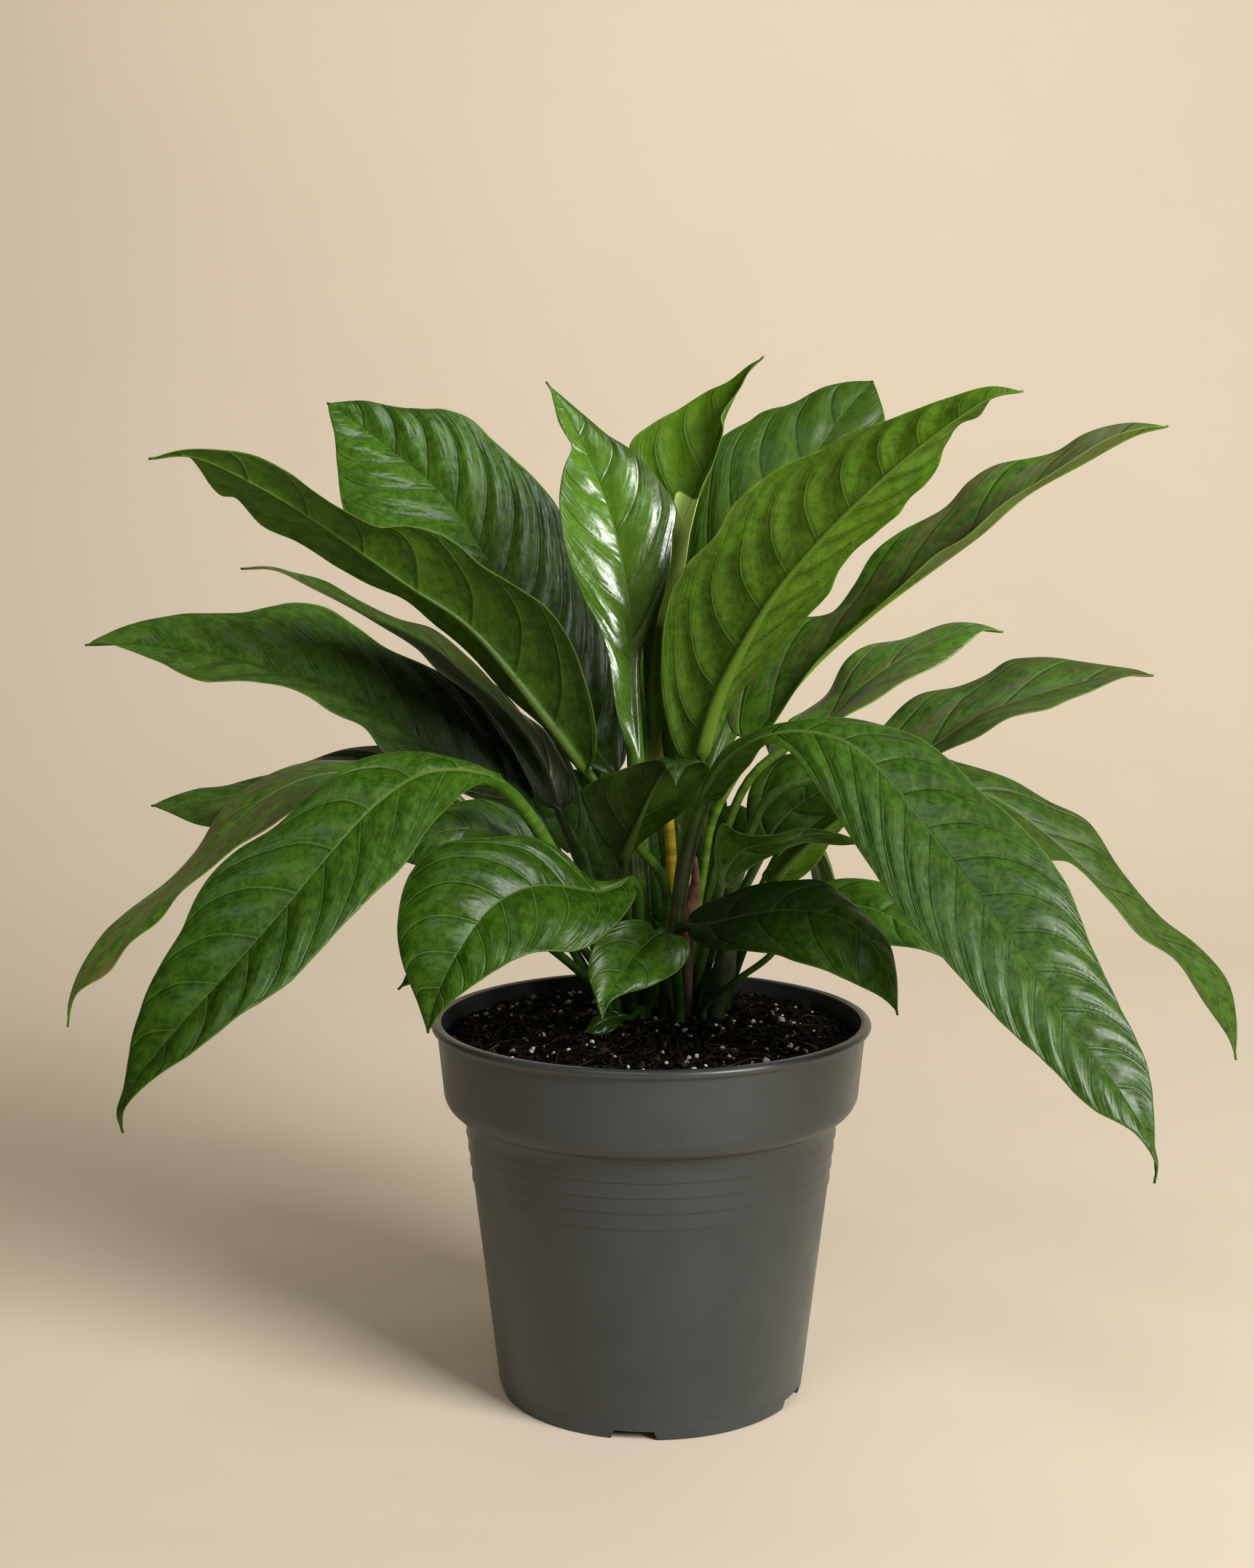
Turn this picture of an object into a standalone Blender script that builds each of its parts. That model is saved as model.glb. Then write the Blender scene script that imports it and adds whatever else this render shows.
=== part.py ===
"""A potted anthurium: a rosette of long pointed leaves in a round nursery pot filled with potting mix.

Metres, +Z up, the origin on the pot's axis at the level that the foot stands on. Sizes below are in millimetres.
The leaves are placed by sight: a point is the column and row where it is seen in a picture 1724 pixels wide and
2156 high, with its depth behind the pot's axis, so each leaf is drawn the way it is looked at.
"""

import math

import bmesh
import bpy
import numpy as np
from mathutils import Matrix, Vector

MM = 0.001

# The point that the leaves are sighted from: 885 mm in front of the pot's axis and 370 mm up, looking down a little.
SIGHT_BACK = 885.0
SIGHT_HEIGHT = 370.0
SIGHT_SIDE = -10.4
SIGHT_PITCH = math.radians(6.81)
SIGHT_FOCAL = 2863.0
SIGHT_COLUMN = 862.0
SIGHT_ROW = 1078.0

# The pot: a 19 cm nursery pot with a deep collar under a rolled rim, standing on a notched foot.
POT_RIM_RADIUS = 95.0
POT_HEIGHT = 163.0
POT_BEAD = 3.8
POT_BEAD_PROUD = 2.6
POT_COLLAR_LOW_RADIUS = 89.8
POT_COLLAR_DEPTH = 32.0
POT_SHOULDER_RADIUS = 81.1
POT_SHOULDER_DROP = 8.0
POT_BASE_RADIUS = 66.5
POT_WALL = 1.8
POT_FLOOR = 7.0
POT_FLOOR_THICK = 2.4
POT_SIDES = 48
FOOT_WIDTH = 3.6
FOOT_NOTCHES = 5
FOOT_NOTCH_WIDTH = 21.0
FOOT_NOTCH_HEIGHT = 4.0
FOOT_NOTCH_TURN = -96.5
DRAIN_HOLES = 6
DRAIN_HOLE_RADIUS = 4.5
DRAIN_HOLE_RING = 42.0

# The potting mix fills the pot to a little under the rim and rises a little towards the middle.
SOIL_TOP = 154.0
SOIL_MOUND = 8.0
SOIL_MOUND_RADIUS = 60.0
SOIL_RINGS = 5
CROWN_X = 5.0
CROWN_Y = 22.0

GAP = 0.3
# The clear room between two stalks, and how near to the crown their feet are drawn.
FEET_APART = 2.6
FEET_DRAWN = 0.78
STALK_DEPTH = 8.0
STALK_RISE = 5.0
STALK_RINGS = 5
BLADE_RINGS = (8, 10, 12)
BLADE_RING_WIDTHS = (53.0, 66.0)
BLADE_THICK = 0.8
TIP_RADIUS = 0.5

# A ring round a blade: how far each point lies towards the margin, negative to the left, and which face it is on.
RING_SHARES = (-1.0, -0.5, -0.12, 0.12, 0.5, 1.0, 1.0, 0.5, 0.12, -0.12, -0.5, -1.0)
RING_FACES = (1, 1, 1, 1, 1, 1, -1, -1, -1, -1, -1, -1)
RING_TURNS = [math.radians(turn) for turn in range(165, -195, -30)]
RIB_SHARE = 0.2
RIB_PROUD = 1.4
HOLE_SIDES = 8
HOLE_SLACK = 0.6

POT_COLOUR = (0.045, 0.043, 0.043)
SOIL_COLOUR = (0.03, 0.02, 0.012)
UPPER_COLOUR = (0.03, 0.12, 0.01)
UNDER_COLOUR = (0.16, 0.22, 0.03)
SHEATH_COLOUR = (0.07, 0.06, 0.02)

# Each leaf: foot is where its stalk stands in the mix, width its real width, stalk the stalk's radius, and under says
# that the eye sees its under face. rib runs from the blade's base to its tip as column, row and depth. left and right
# are the margins as column and row, on the left and right hand of someone who walks from base to tip. lean says how
# far each margin turns away from the eye, as a share of the half width. arch is how far a half blade bulges, and via
# holds the points that the stalk passes on its way up.
LEAVES = {
    "leaf_left_raised": dict(
        foot=(2, 10), width=62, stalk=2.2, under=True, lean=(0.85, -0.45), arch=0.06,
        via=((914, 1215, 6), (877, 1162, 2)),
        rib=((812, 1068, -2), (757, 995, -7), (646, 863, -18), (557, 802, -28), (450, 727, -42), (371, 677, -52),
             (261, 627, -62), (204, 631, -65)),
        left=((785, 1048), (746, 997), (700, 954), (650, 906), (593, 859), (552, 822), (503, 798), (450, 768),
              (403, 744), (357, 725), (323, 686), (303, 682), (254, 623)),
        right=((820, 1020), (808, 950), (785, 880), (753, 834), (700, 800), (664, 780), (625, 748), (593, 731),
               (557, 723), (521, 723), (471, 698), (428, 672), (400, 652), (353, 629), (307, 620), (250, 619)),
    ),
    "leaf_back_left_tall": dict(
        foot=(-6, 34), width=72, stalk=2.5, under=False, lean=(-0.35, 0.18), arch=0.05,
        rib=((850, 1080, 36), (808, 1010, 42), (762, 930, 52), (722, 850, 64), (679, 783, 76), (611, 684, 94),
             (521, 606, 112), (450, 554, 124)),
        left=((822, 1062), (770, 1000), (690, 930), (600, 850), (530, 780), (490, 730), (471, 697), (463, 638),
              (460, 599), (453, 570)),
        right=((864, 1020), (862, 940), (846, 870), (806, 800), (768, 700), (736, 659), (707, 631), (675, 602),
               (646, 575), (611, 563), (579, 563), (543, 560), (500, 551)),
    ),
    "leaf_centre_young": dict(
        foot=(-3, 22), width=62, stalk=3.8, under=False, lean=(-0.3, 0.05), arch=0.05,
        rib=((874, 1046, 4), (872, 1000, 6), (870, 950, 8), (869, 900, 11), (866, 849, 14), (862, 809, 17),
             (845, 727, 24), (818, 649, 32), (796, 602, 38), (771, 556, 45), (751, 525, 50)),
        left=((858, 1036), (849, 1000), (842, 950), (834, 893), (822, 856), (803, 822), (780, 770), (769, 699),
              (775, 645), (786, 613), (777, 597), (768, 581), (757, 538)),
        right=((888, 1030), (886, 1000), (885, 960), (884, 905), (892, 865), (906, 822), (921, 785), (925, 740),
               (930, 697), (914, 670), (879, 627), (836, 599), (807, 574), (771, 543)),
    ),
    "leaf_centre_back_folded": dict(
        foot=(9, 26), width=60, stalk=2.4, under=True, lean=(0.3, -0.5), arch=0.04,
        via=((922, 1160, 18),),
        rib=((903, 1024, 26), (899, 970, 28), (901, 910, 29), (909, 850, 31), (922, 800, 34), (938, 730, 38),
             (962, 665, 42), (985, 610, 44), (1000, 565, 44), (1024, 518, 40), (1050, 490, 36)),
        left=((894, 1012), (887, 970), (884, 910), (890, 850), (905, 800), (905, 740), (880, 670), (866, 613),
              (896, 584), (932, 563), (971, 538), (1000, 525), (1030, 502)),
        right=((910, 1012), (911, 970), (914, 910), (922, 850), (935, 800), (948, 745), (966, 670), (978, 640),
               (989, 606), (993, 588), (990, 574), (1004, 552), (1018, 534), (1032, 508)),
    ),
    "leaf_back_right_tall": dict(
        foot=(16, 36), width=72, stalk=2.5, under=False, lean=(0.55, -0.3), arch=0.05,
        rib=((926, 1070, 40), (945, 1000, 46), (972, 930, 54), (1008, 850, 66), (1050, 750, 82), (1092, 670, 96),
             (1129, 613, 106), (1164, 563, 115), (1200, 524, 121)),
        left=((906, 1040), (898, 970), (908, 890), (930, 810), (944, 740), (962, 670), (986, 609), (1029, 581),
              (1046, 568), (1093, 552), (1125, 534), (1164, 525)),
        right=((956, 1052), (1000, 960), (1060, 870), (1130, 770), (1180, 690), (1208, 620), (1217, 579),
               (1207, 541)),
    ),
    "leaf_right_raised": dict(
        foot=(11, 16), width=72, stalk=2.9, under=True, lean=(0.3, 0.85), arch=0.06,
        rib=((960, 1052, -6), (986, 963, -11), (1020, 892, -17), (1065, 818, -25), (1122, 749, -35),
             (1204, 667, -48), (1286, 598, -60), (1367, 545, -70), (1407, 538, -72)),
        left=((935, 1040), (911, 963), (909, 881), (921, 816), (946, 774), (986, 734), (1007, 695), (1067, 645),
              (1131, 616), (1155, 600), (1220, 578), (1298, 549), (1363, 531)),
        right=((985, 1020), (1018, 950), (1060, 900), (1094, 863), (1139, 822), (1163, 773), (1200, 733),
               (1231, 706), (1249, 684), (1286, 651), (1302, 614), (1322, 584), (1347, 573), (1365, 546)),
    ),
    "leaf_right_narrow": dict(
        foot=(17, 13), width=40, stalk=2.0, under=False, lean=(0.7, -0.7), arch=0.03,
        via=((967, 1195, 13), (977, 1135, 13), (998, 1088, 12)),
        rib=((1040, 1020, 9), (1068, 972, 9), (1110, 920, 7), (1190, 850, 0), (1288, 778, -9), (1347, 735, -15),
             (1410, 681, -20), (1490, 636, -26), (1563, 597, -29), (1606, 586, -30)),
        left=((1006, 1006), (1002, 955), (1030, 895), (1086, 852), (1139, 843), (1171, 806), (1200, 761),
              (1237, 733), (1300, 699), (1333, 661), (1367, 639), (1449, 621), (1492, 596), (1551, 582)),
        right=((1054, 1008), (1093, 952), (1130, 905), (1180, 857), (1237, 806), (1286, 765), (1327, 742),
               (1380, 692), (1453, 645), (1527, 602), (1580, 587)),
    ),
    "leaf_right_small": dict(
        foot=(20, 27), width=42, stalk=2.0, under=False, lean=(0.7, -0.7), arch=0.05,
        via=((1010, 1110, 18), (1040, 1060, 15)),
        rib=((1098, 1016, 14), (1143, 986, 18), (1184, 945, 22), (1215, 922, 25), (1245, 902, 28), (1286, 882, 31),
             (1326, 866, 33), (1379, 869, 35)),
        left=((1082, 996), (1106, 978), (1135, 953), (1161, 912), (1192, 890), (1245, 876), (1306, 858),
              (1351, 859)),
        right=((1130, 1006), (1180, 976), (1229, 945), (1265, 929), (1294, 912), (1335, 880), (1355, 866)),
    ),
    "leaf_right_level": dict(
        foot=(27, 27), width=48, stalk=2.0, under=False, lean=(0.65, -0.8), arch=0.05,
        via=((1030, 1146, 13), (1065, 1090, 10)),
        rib=((1212, 1056, 4), (1282, 1026, 0), (1322, 1000, -3), (1355, 980, -5), (1408, 961, -8),
             (1469, 943, -10), (1531, 929, -12), (1586, 929, -14)),
        left=((1205, 1015), (1229, 980), (1261, 957), (1318, 945), (1355, 927), (1384, 907), (1420, 904),
              (1490, 911), (1560, 920)),
        right=((1262, 1052), (1302, 1035), (1335, 1018), (1380, 988), (1441, 978), (1478, 959), (1547, 931)),
    ),
    "leaf_right_drooping": dict(
        foot=(6, -4), width=66, stalk=3.3, under=False, lean=(0.5, -0.45), arch=0.07,
        via=((944, 1180, -11),),
        rib=((966, 1108, -12), (984, 1066, -20), (1010, 1035, -29), (1046, 1014, -39), (1098, 1005, -49),
             (1163, 1020, -62), (1220, 1069, -76), (1283, 1150, -93), (1344, 1228, -108), (1409, 1321, -123),
             (1474, 1416, -135), (1552, 1520, -146), (1591, 1594, -151), (1587, 1627, -152)),
        left=((962, 1080), (978, 1052), (1001, 1026), (1030, 1012), (1082, 996), (1122, 988), (1171, 986),
              (1245, 1004), (1294, 1035), (1344, 1087), (1409, 1143), (1465, 1212), (1500, 1295), (1539, 1382),
              (1576, 1468), (1586, 1551)),
        right=((988, 1106), (1006, 1080), (1032, 1050), (1056, 1022), (1082, 1032), (1102, 1055), (1146, 1115),
               (1200, 1195), (1248, 1265), (1309, 1334), (1374, 1403), (1443, 1464), (1500, 1523), (1560, 1559),
               (1589, 1603)),
    ),
    "leaf_far_right_drooping": dict(
        foot=(34, 22), width=44, stalk=2.0, under=False, lean=(0.6, -0.7), arch=0.05,
        rib=((1236, 1050, -20), (1318, 1078, -22), (1378, 1104, -22), (1443, 1152, -23), (1500, 1203, -24),
             (1545, 1243, -24), (1590, 1285, -24), (1640, 1325, -23), (1672, 1365, -22), (1692, 1410, -20),
             (1699, 1457, -18)),
        left=((1250, 1030), (1318, 1050), (1391, 1072), (1443, 1100), (1495, 1128), (1534, 1191), (1591, 1256),
              (1647, 1299), (1686, 1347), (1699, 1403)),
        right=((1290, 1110), (1360, 1150), (1430, 1182), (1474, 1186), (1526, 1236), (1565, 1288), (1617, 1323),
               (1656, 1377), (1690, 1429)),
    ),
    "leaf_front_right_low": dict(
        foot=(15, -9), width=58, stalk=2.4, under=False, lean=(0.55, -0.35), arch=0.08,
        rib=((936, 1274, -26), (985, 1268, -38), (1030, 1258, -48), (1080, 1252, -58), (1130, 1256, -68),
             (1170, 1270, -76), (1200, 1300, -84), (1222, 1345, -90), (1234, 1396, -94)),
        left=((950, 1256), (986, 1237), (1036, 1215), (1095, 1212), (1134, 1215), (1172, 1240), (1207, 1274),
              (1222, 1298), (1232, 1345)),
        right=((948, 1289), (986, 1308), (1036, 1308), (1066, 1311), (1095, 1323), (1154, 1343), (1210, 1370),
               (1228, 1386)),
    ),
    "leaf_right_low_behind": dict(
        foot=(28, -7), width=42, stalk=1.4, under=False, lean=(0.4, -0.3), arch=0.06,
        via=((1010, 1350, -10), (1064, 1308, -13)),
        rib=((1090, 1250, -14), (1150, 1243, -20), (1200, 1250, -26), (1250, 1275, -32), (1300, 1312, -37),
             (1334, 1334, -40)),
        left=((1105, 1228), (1140, 1212), (1205, 1210), (1250, 1232), (1300, 1280)),
        right=((1110, 1272), (1160, 1290), (1222, 1299), (1257, 1304), (1300, 1318)),
    ),
    "leaf_front_small": dict(
        foot=(-4, -5), width=40, stalk=2.0, under=False, lean=(0.1, -0.1), arch=0.07,
        rib=((908, 1282, -34), (893, 1293, -40), (871, 1315, -50), (848, 1349, -62), (834, 1374, -68),
             (827, 1403, -73)),
        left=((936, 1288), (948, 1307), (932, 1334), (899, 1355), (857, 1367), (840, 1378)),
        right=((885, 1266), (851, 1268), (818, 1296), (809, 1330), (819, 1374)),
    ),
    "leaf_front_left_broad": dict(
        foot=(-11, 4), width=68, stalk=2.8, under=False, lean=(-0.3, 0.3), arch=0.07,
        rib=((868, 1212, -30), (823, 1226, -40), (773, 1219, -50), (728, 1220, -59), (677, 1247, -69),
             (635, 1301, -79), (601, 1369, -86), (588, 1421, -89)),
        left=((876, 1222), (864, 1251), (834, 1284), (801, 1304), (739, 1310), (694, 1328), (649, 1355),
              (610, 1388)),
        right=((850, 1205), (812, 1212), (778, 1172), (733, 1151), (672, 1154), (604, 1161), (562, 1203),
               (547, 1268), (552, 1318), (576, 1385)),
    ),
    "leaf_left_drooping": dict(
        foot=(-20, 6), width=68, stalk=3.0, under=False, lean=(-0.5, 0.5), arch=0.06,
        via=((752, 1160, -20),),
        rib=((690, 1082, -36), (668, 1066, -43), (631, 1058, -52), (578, 1065, -64), (517, 1106, -78),
             (460, 1167, -93), (395, 1245, -108), (313, 1339, -124), (236, 1424, -136), (174, 1506, -144),
             (164, 1535, -146), (169, 1558, -147)),
        left=((676, 1084), (652, 1082), (613, 1113), (587, 1141), (558, 1186), (513, 1233), (452, 1294),
              (391, 1353), (333, 1394), (272, 1445), (203, 1490), (170, 1527)),
        right=((698, 1068), (680, 1062), (631, 1043), (570, 1032), (501, 1045), (436, 1086), (378, 1135),
               (325, 1167), (280, 1216), (248, 1286), (211, 1347), (182, 1420), (168, 1502), (160, 1532)),
    ),
    "leaf_far_left_drooping": dict(
        foot=(-26, 12), width=44, stalk=2.2, under=False, lean=(-0.7, 0.6), arch=0.05,
        rib=((600, 1076, -12), (520, 1066, -15), (450, 1064, -17), (400, 1078, -19), (350, 1108, -21),
             (315, 1142, -23), (280, 1182, -25), (235, 1227, -27), (190, 1262, -29), (150, 1300, -31),
             (115, 1340, -33), (98, 1375, -34), (93, 1412, -34)),
        left=((560, 1090), (480, 1090), (421, 1108), (370, 1140), (326, 1162), (289, 1192), (249, 1228),
              (221, 1267), (178, 1299), (148, 1337), (105, 1367)),
        right=((560, 1058), (480, 1044), (420, 1048), (364, 1071), (303, 1117), (271, 1164), (231, 1210),
               (174, 1256), (139, 1289), (105, 1343), (93, 1388)),
    ),
    "leaf_left_small": dict(
        foot=(-22, 26), width=42, stalk=2.0, under=False, lean=(-0.6, 0.6), arch=0.05,
        rib=((580, 1062, 34), (480, 1062, 38), (400, 1076, 41), (330, 1092, 43), (270, 1102, 44), (208, 1108, 45)),
        left=((520, 1082), (430, 1104), (350, 1134), (283, 1137), (228, 1115)),
        right=((560, 1030), (514, 1026), (417, 1047), (364, 1067), (310, 1081), (271, 1084), (239, 1094)),
    ),
    "leaf_left_broad": dict(
        foot=(-21, 19), width=64, stalk=2.5, under=False, lean=(-0.7, 0.55), arch=0.06,
        rib=((738, 1124, 6), (705, 1090, 11), (660, 1062, 16), (610, 1037, 20), (560, 1004, 24), (506, 974, 28),
             (453, 947, 31), (399, 928, 33), (310, 903, 36), (250, 893, 38), (180, 886, 39), (117, 887, 40)),
        left=((712, 1128), (650, 1095), (570, 1065), (528, 1039), (499, 999), (453, 974), (417, 951), (356, 940),
              (274, 937), (221, 910), (174, 892), (140, 883)),
        right=((732, 1085), (716, 1040), (690, 1000), (650, 955), (603, 925), (535, 894), (489, 860), (446, 833),
               (403, 828), (331, 844), (249, 845), (178, 858), (137, 876)),
    ),
    "leaf_left_narrow": dict(
        foot=(-13, 27), width=44, stalk=2.1, under=False, lean=(-0.6, 0.7), arch=0.04,
        rib=((770, 1120, 16), (752, 1060, 17), (720, 1005, 18), (680, 960, 19), (635, 922, 19), (600, 892, 18),
             (560, 870, 17), (510, 848, 15), (470, 824, 13), (425, 802, 11), (375, 782, 9), (331, 782, 8)),
        left=((744, 1105), (722, 1062), (700, 1020), (657, 966), (604, 924), (575, 891), (521, 859), (475, 834),
              (429, 809), (379, 784)),
        right=((790, 1090), (772, 1040), (750, 1002), (714, 978), (680, 945), (643, 906), (596, 863), (550, 850),
               (493, 827), (446, 800), (396, 786), (354, 779)),
    ),
    "leaf_front_centre": dict(
        foot=(-6, 8), width=62, stalk=2.6, under=True, lean=(0.2, 0.3), arch=0.05,
        rib=((855, 1205, -14), (862, 1170, -19), (878, 1130, -25), (898, 1085, -31), (916, 1056, -36),
             (926, 1046, -41), (929, 1056, -47), (928, 1081, -52)),
        left=((843, 1175), (823, 1144), (801, 1108), (797, 1090), (823, 1070), (863, 1055), (895, 1047),
              (910, 1048), (920, 1066)),
        right=((872, 1168), (904, 1143), (939, 1112), (966, 1080), (978, 1062), (970, 1050), (955, 1048),
               (944, 1054), (934, 1070)),
    ),
    "leaf_right_inner": dict(
        foot=(26, 34), width=56, stalk=2.1, under=False, lean=(0.2, -0.2), arch=0.06,
        rib=((1046, 1176, 27), (1064, 1142, 25), (1096, 1108, 23), (1134, 1084, 20), (1170, 1068, 17),
             (1205, 1060, 14)),
        left=((1030, 1150), (1030, 1090), (1056, 1048), (1100, 1034), (1150, 1034), (1185, 1042)),
        right=((1070, 1170), (1096, 1154), (1130, 1138), (1160, 1118), (1190, 1090)),
    ),
    "leaf_right_folded": dict(
        foot=(22, 6), width=48, stalk=2.2, under=False, lean=(-0.3, 0.4), arch=0.05,
        rib=((988, 1226, -14), (1002, 1190, -18), (1028, 1165, -24), (1072, 1158, -30), (1120, 1146, -34),
             (1165, 1152, -37), (1190, 1160, -38)),
        left=((983, 1195), (984, 1156), (994, 1133), (1013, 1142), (1066, 1148), (1100, 1140), (1145, 1143)),
        right=((1004, 1222), (1022, 1204), (1046, 1182), (1072, 1171), (1110, 1158), (1160, 1162)),
    ),
    "leaf_right_pale": dict(
        foot=(39, 12), width=42, stalk=2.2, under=True, lean=(0.3, 0.3), arch=0.05,
        rib=((1056, 1222, -2), (1072, 1203, -6), (1092, 1180, -10), (1118, 1155, -15), (1150, 1128, -20),
             (1178, 1110, -24)),
        left=((1048, 1205), (1058, 1190), (1080, 1168), (1105, 1146), (1142, 1118)),
        right=((1078, 1214), (1101, 1209), (1125, 1183), (1147, 1152), (1166, 1128)),
    ),
    "leaf_left_inner": dict(
        foot=(-17, 20), width=52, stalk=2.1, under=False, lean=(-0.3, 0.3), arch=0.06,
        rib=((748, 1176, -8), (700, 1156, -13), (640, 1140, -18), (590, 1150, -22), (556, 1185, -25)),
        left=((728, 1200), (680, 1205), (620, 1200), (580, 1192)),
        right=((738, 1136), (690, 1106), (650, 1100), (606, 1112), (575, 1145)),
    ),
    "leaf_left_low": dict(
        foot=(-24, 0), width=30, stalk=1.9, under=False, lean=(-0.2, 0.2), arch=0.05,
        rib=((690, 1262, -34), (650, 1270, -40), (612, 1296, -47), (578, 1330, -52), (547, 1361, -55)),
        left=((670, 1280), (632, 1300), (594, 1330), (566, 1352)),
        right=((664, 1250), (620, 1262), (588, 1296), (560, 1338)),
    ),
    "leaf_soil_small": dict(
        foot=(-6, -10), width=22, stalk=1.5, under=False, lean=(-0.3, 0.3), arch=0.06,
        rib=((866, 1400, -14), (852, 1398, -17), (836, 1402, -21), (820, 1410, -24), (803, 1420, -27)),
        left=((852, 1410), (840, 1419), (822, 1423)),
        right=((856, 1390), (832, 1391), (814, 1402)),
    ),
    "leaf_crown_back_left": dict(
        foot=(-13, 40), width=50, stalk=2.2, under=False, lean=(0.1, -0.1), arch=0.06,
        rib=((866, 1300, 40), (844, 1230, 43), (820, 1160, 46), (800, 1100, 50), (790, 1058, 54)),
        left=((842, 1290), (804, 1230), (782, 1150), (780, 1085)),
        right=((880, 1260), (868, 1180), (848, 1110), (818, 1066)),
    ),
    "leaf_crown_back_centre": dict(
        foot=(6, 50), width=52, stalk=2.2, under=False, lean=(0.1, -0.1), arch=0.06,
        rib=((918, 1300, 54), (914, 1240, 56), (908, 1190, 59), (902, 1130, 62), (898, 1090, 65)),
        left=((894, 1280), (878, 1220), (872, 1160), (880, 1110)),
        right=((942, 1280), (948, 1210), (940, 1150), (918, 1106)),
    ),
    "leaf_crown_back_right": dict(
        foot=(20, 46), width=52, stalk=2.2, under=False, lean=(0.1, -0.1), arch=0.06,
        rib=((962, 1300, 47), (978, 1240, 49), (994, 1190, 52), (1006, 1140, 55), (1012, 1104, 58)),
        left=((940, 1290), (948, 1220), (966, 1160), (992, 1114)),
        right=((990, 1290), (1018, 1220), (1034, 1160), (1032, 1116)),
    ),
}

# The leaves behind, which the eye does not reach: each is the form of another leaf turned about the crown.
TURNED = {
    "leaf_back_1": dict(like="leaf_left_drooping", turn=-92, reach=0.58, lift=0.9, rise=20, foot=(-16, 54)),
    "leaf_back_2": dict(like="leaf_left_broad", turn=-26, reach=0.62, lift=0.8, rise=0, foot=(-26, 36)),
    "leaf_back_3": dict(like="leaf_right_drooping", turn=98, reach=0.6, lift=0.88, rise=16, foot=(27, 40)),
    "leaf_back_4": dict(like="leaf_right_level", turn=42, reach=0.74, lift=0.7, rise=0, foot=(38, 42)),
    "leaf_back_5": dict(like="leaf_left_raised", turn=-110, reach=0.6, lift=0.86, rise=0, foot=(-2, 54)),
    "leaf_back_6": dict(like="leaf_front_left_broad", turn=-140, reach=0.9, lift=1.0, rise=0, foot=(-6, 64)),
    "leaf_back_7": dict(like="leaf_far_right_drooping", turn=88, reach=0.52, lift=0.9, rise=0, foot=(18, 60)),
}

# Bare sheaths of old stalks in the crown: each stands at a foot, leans to a point in the sight and ends there.
SHEATHS = {
    "sheath_right": dict(foot=(31, 5), radii=(4.6, 5.6, 4.0, 1.0), points=((998, 1320, 3), (1006, 1262, -1))),
    "sheath_brown": dict(foot=(20, 1), radii=(2.4, 3.0, 3.6, 0.8), points=((945, 1262, 0), (955, 1224, -1), (956, 1178, 0))),
}


def sight(points):
    """World points, in mm, of rows of column, row and depth."""
    points = np.asarray(points, float)
    across = (points[:, 0] - SIGHT_COLUMN) / SIGHT_FOCAL
    up = (SIGHT_ROW - points[:, 1]) / SIGHT_FOCAL
    forward = math.cos(SIGHT_PITCH) + up * math.sin(SIGHT_PITCH)
    rise = up * math.cos(SIGHT_PITCH) - math.sin(SIGHT_PITCH)
    far = (points[:, 2] + SIGHT_BACK) / forward
    return np.stack([SIGHT_SIDE + far * across, points[:, 2], SIGHT_HEIGHT + far * rise], axis=1)


def smooth_curve(points, steps=12):
    """A dense centripetal Catmull-Rom curve through the points."""
    points = np.asarray(points, float)
    first = 2 * points[0] - points[1]
    last = 2 * points[-1] - points[-2]
    points = np.vstack([first, points, last])
    curve = []
    for p0, p1, p2, p3 in zip(points, points[1:], points[2:], points[3:]):
        knots = np.cumsum([0.0] + [max(np.linalg.norm(b - a), 1e-6) ** 0.5
                                   for a, b in ((p0, p1), (p1, p2), (p2, p3))])
        t = np.linspace(knots[1], knots[2], steps, endpoint=False)[:, None]
        a1 = (knots[1] - t) / (knots[1] - knots[0]) * p0 + (t - knots[0]) / (knots[1] - knots[0]) * p1
        a2 = (knots[2] - t) / (knots[2] - knots[1]) * p1 + (t - knots[1]) / (knots[2] - knots[1]) * p2
        a3 = (knots[3] - t) / (knots[3] - knots[2]) * p2 + (t - knots[2]) / (knots[3] - knots[2]) * p3
        b1 = (knots[2] - t) / (knots[2] - knots[0]) * a1 + (t - knots[0]) / (knots[2] - knots[0]) * a2
        b2 = (knots[3] - t) / (knots[3] - knots[1]) * a2 + (t - knots[1]) / (knots[3] - knots[1]) * a3
        curve.append((knots[2] - t) / (knots[2] - knots[1]) * b1 + (t - knots[1]) / (knots[2] - knots[1]) * b2)
    return np.vstack(curve + [points[-2]])


def spaced(curve, shares, axes):
    """Points at the given shares of a dense curve's length, measured over its first axes."""
    steps = np.linalg.norm(np.diff(curve[:, :axes], axis=0), axis=1)
    along = np.concatenate([[0.0], np.cumsum(steps)])
    return np.stack([np.interp(shares * along[-1], along, column) for column in curve.T], axis=1)


def unit(vectors):
    return vectors / np.maximum(np.linalg.norm(vectors, axis=-1, keepdims=True), 1e-9)


def smoothed(rows, rounds):
    """The rows with each one drawn towards its neighbours."""
    for _ in range(rounds):
        inner = (rows[:-2] + 2 * rows[1:-1] + rows[2:]) / 4
        rows = np.vstack([rows[:1], inner, rows[-1:]])
    return rows


def half_width(width, share):
    """Half of the blade's real width at a share of its length: widest at two fifths, drawn out to the tip."""
    return width / 2 * np.sin(math.pi * share ** 0.75) ** 0.8


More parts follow.
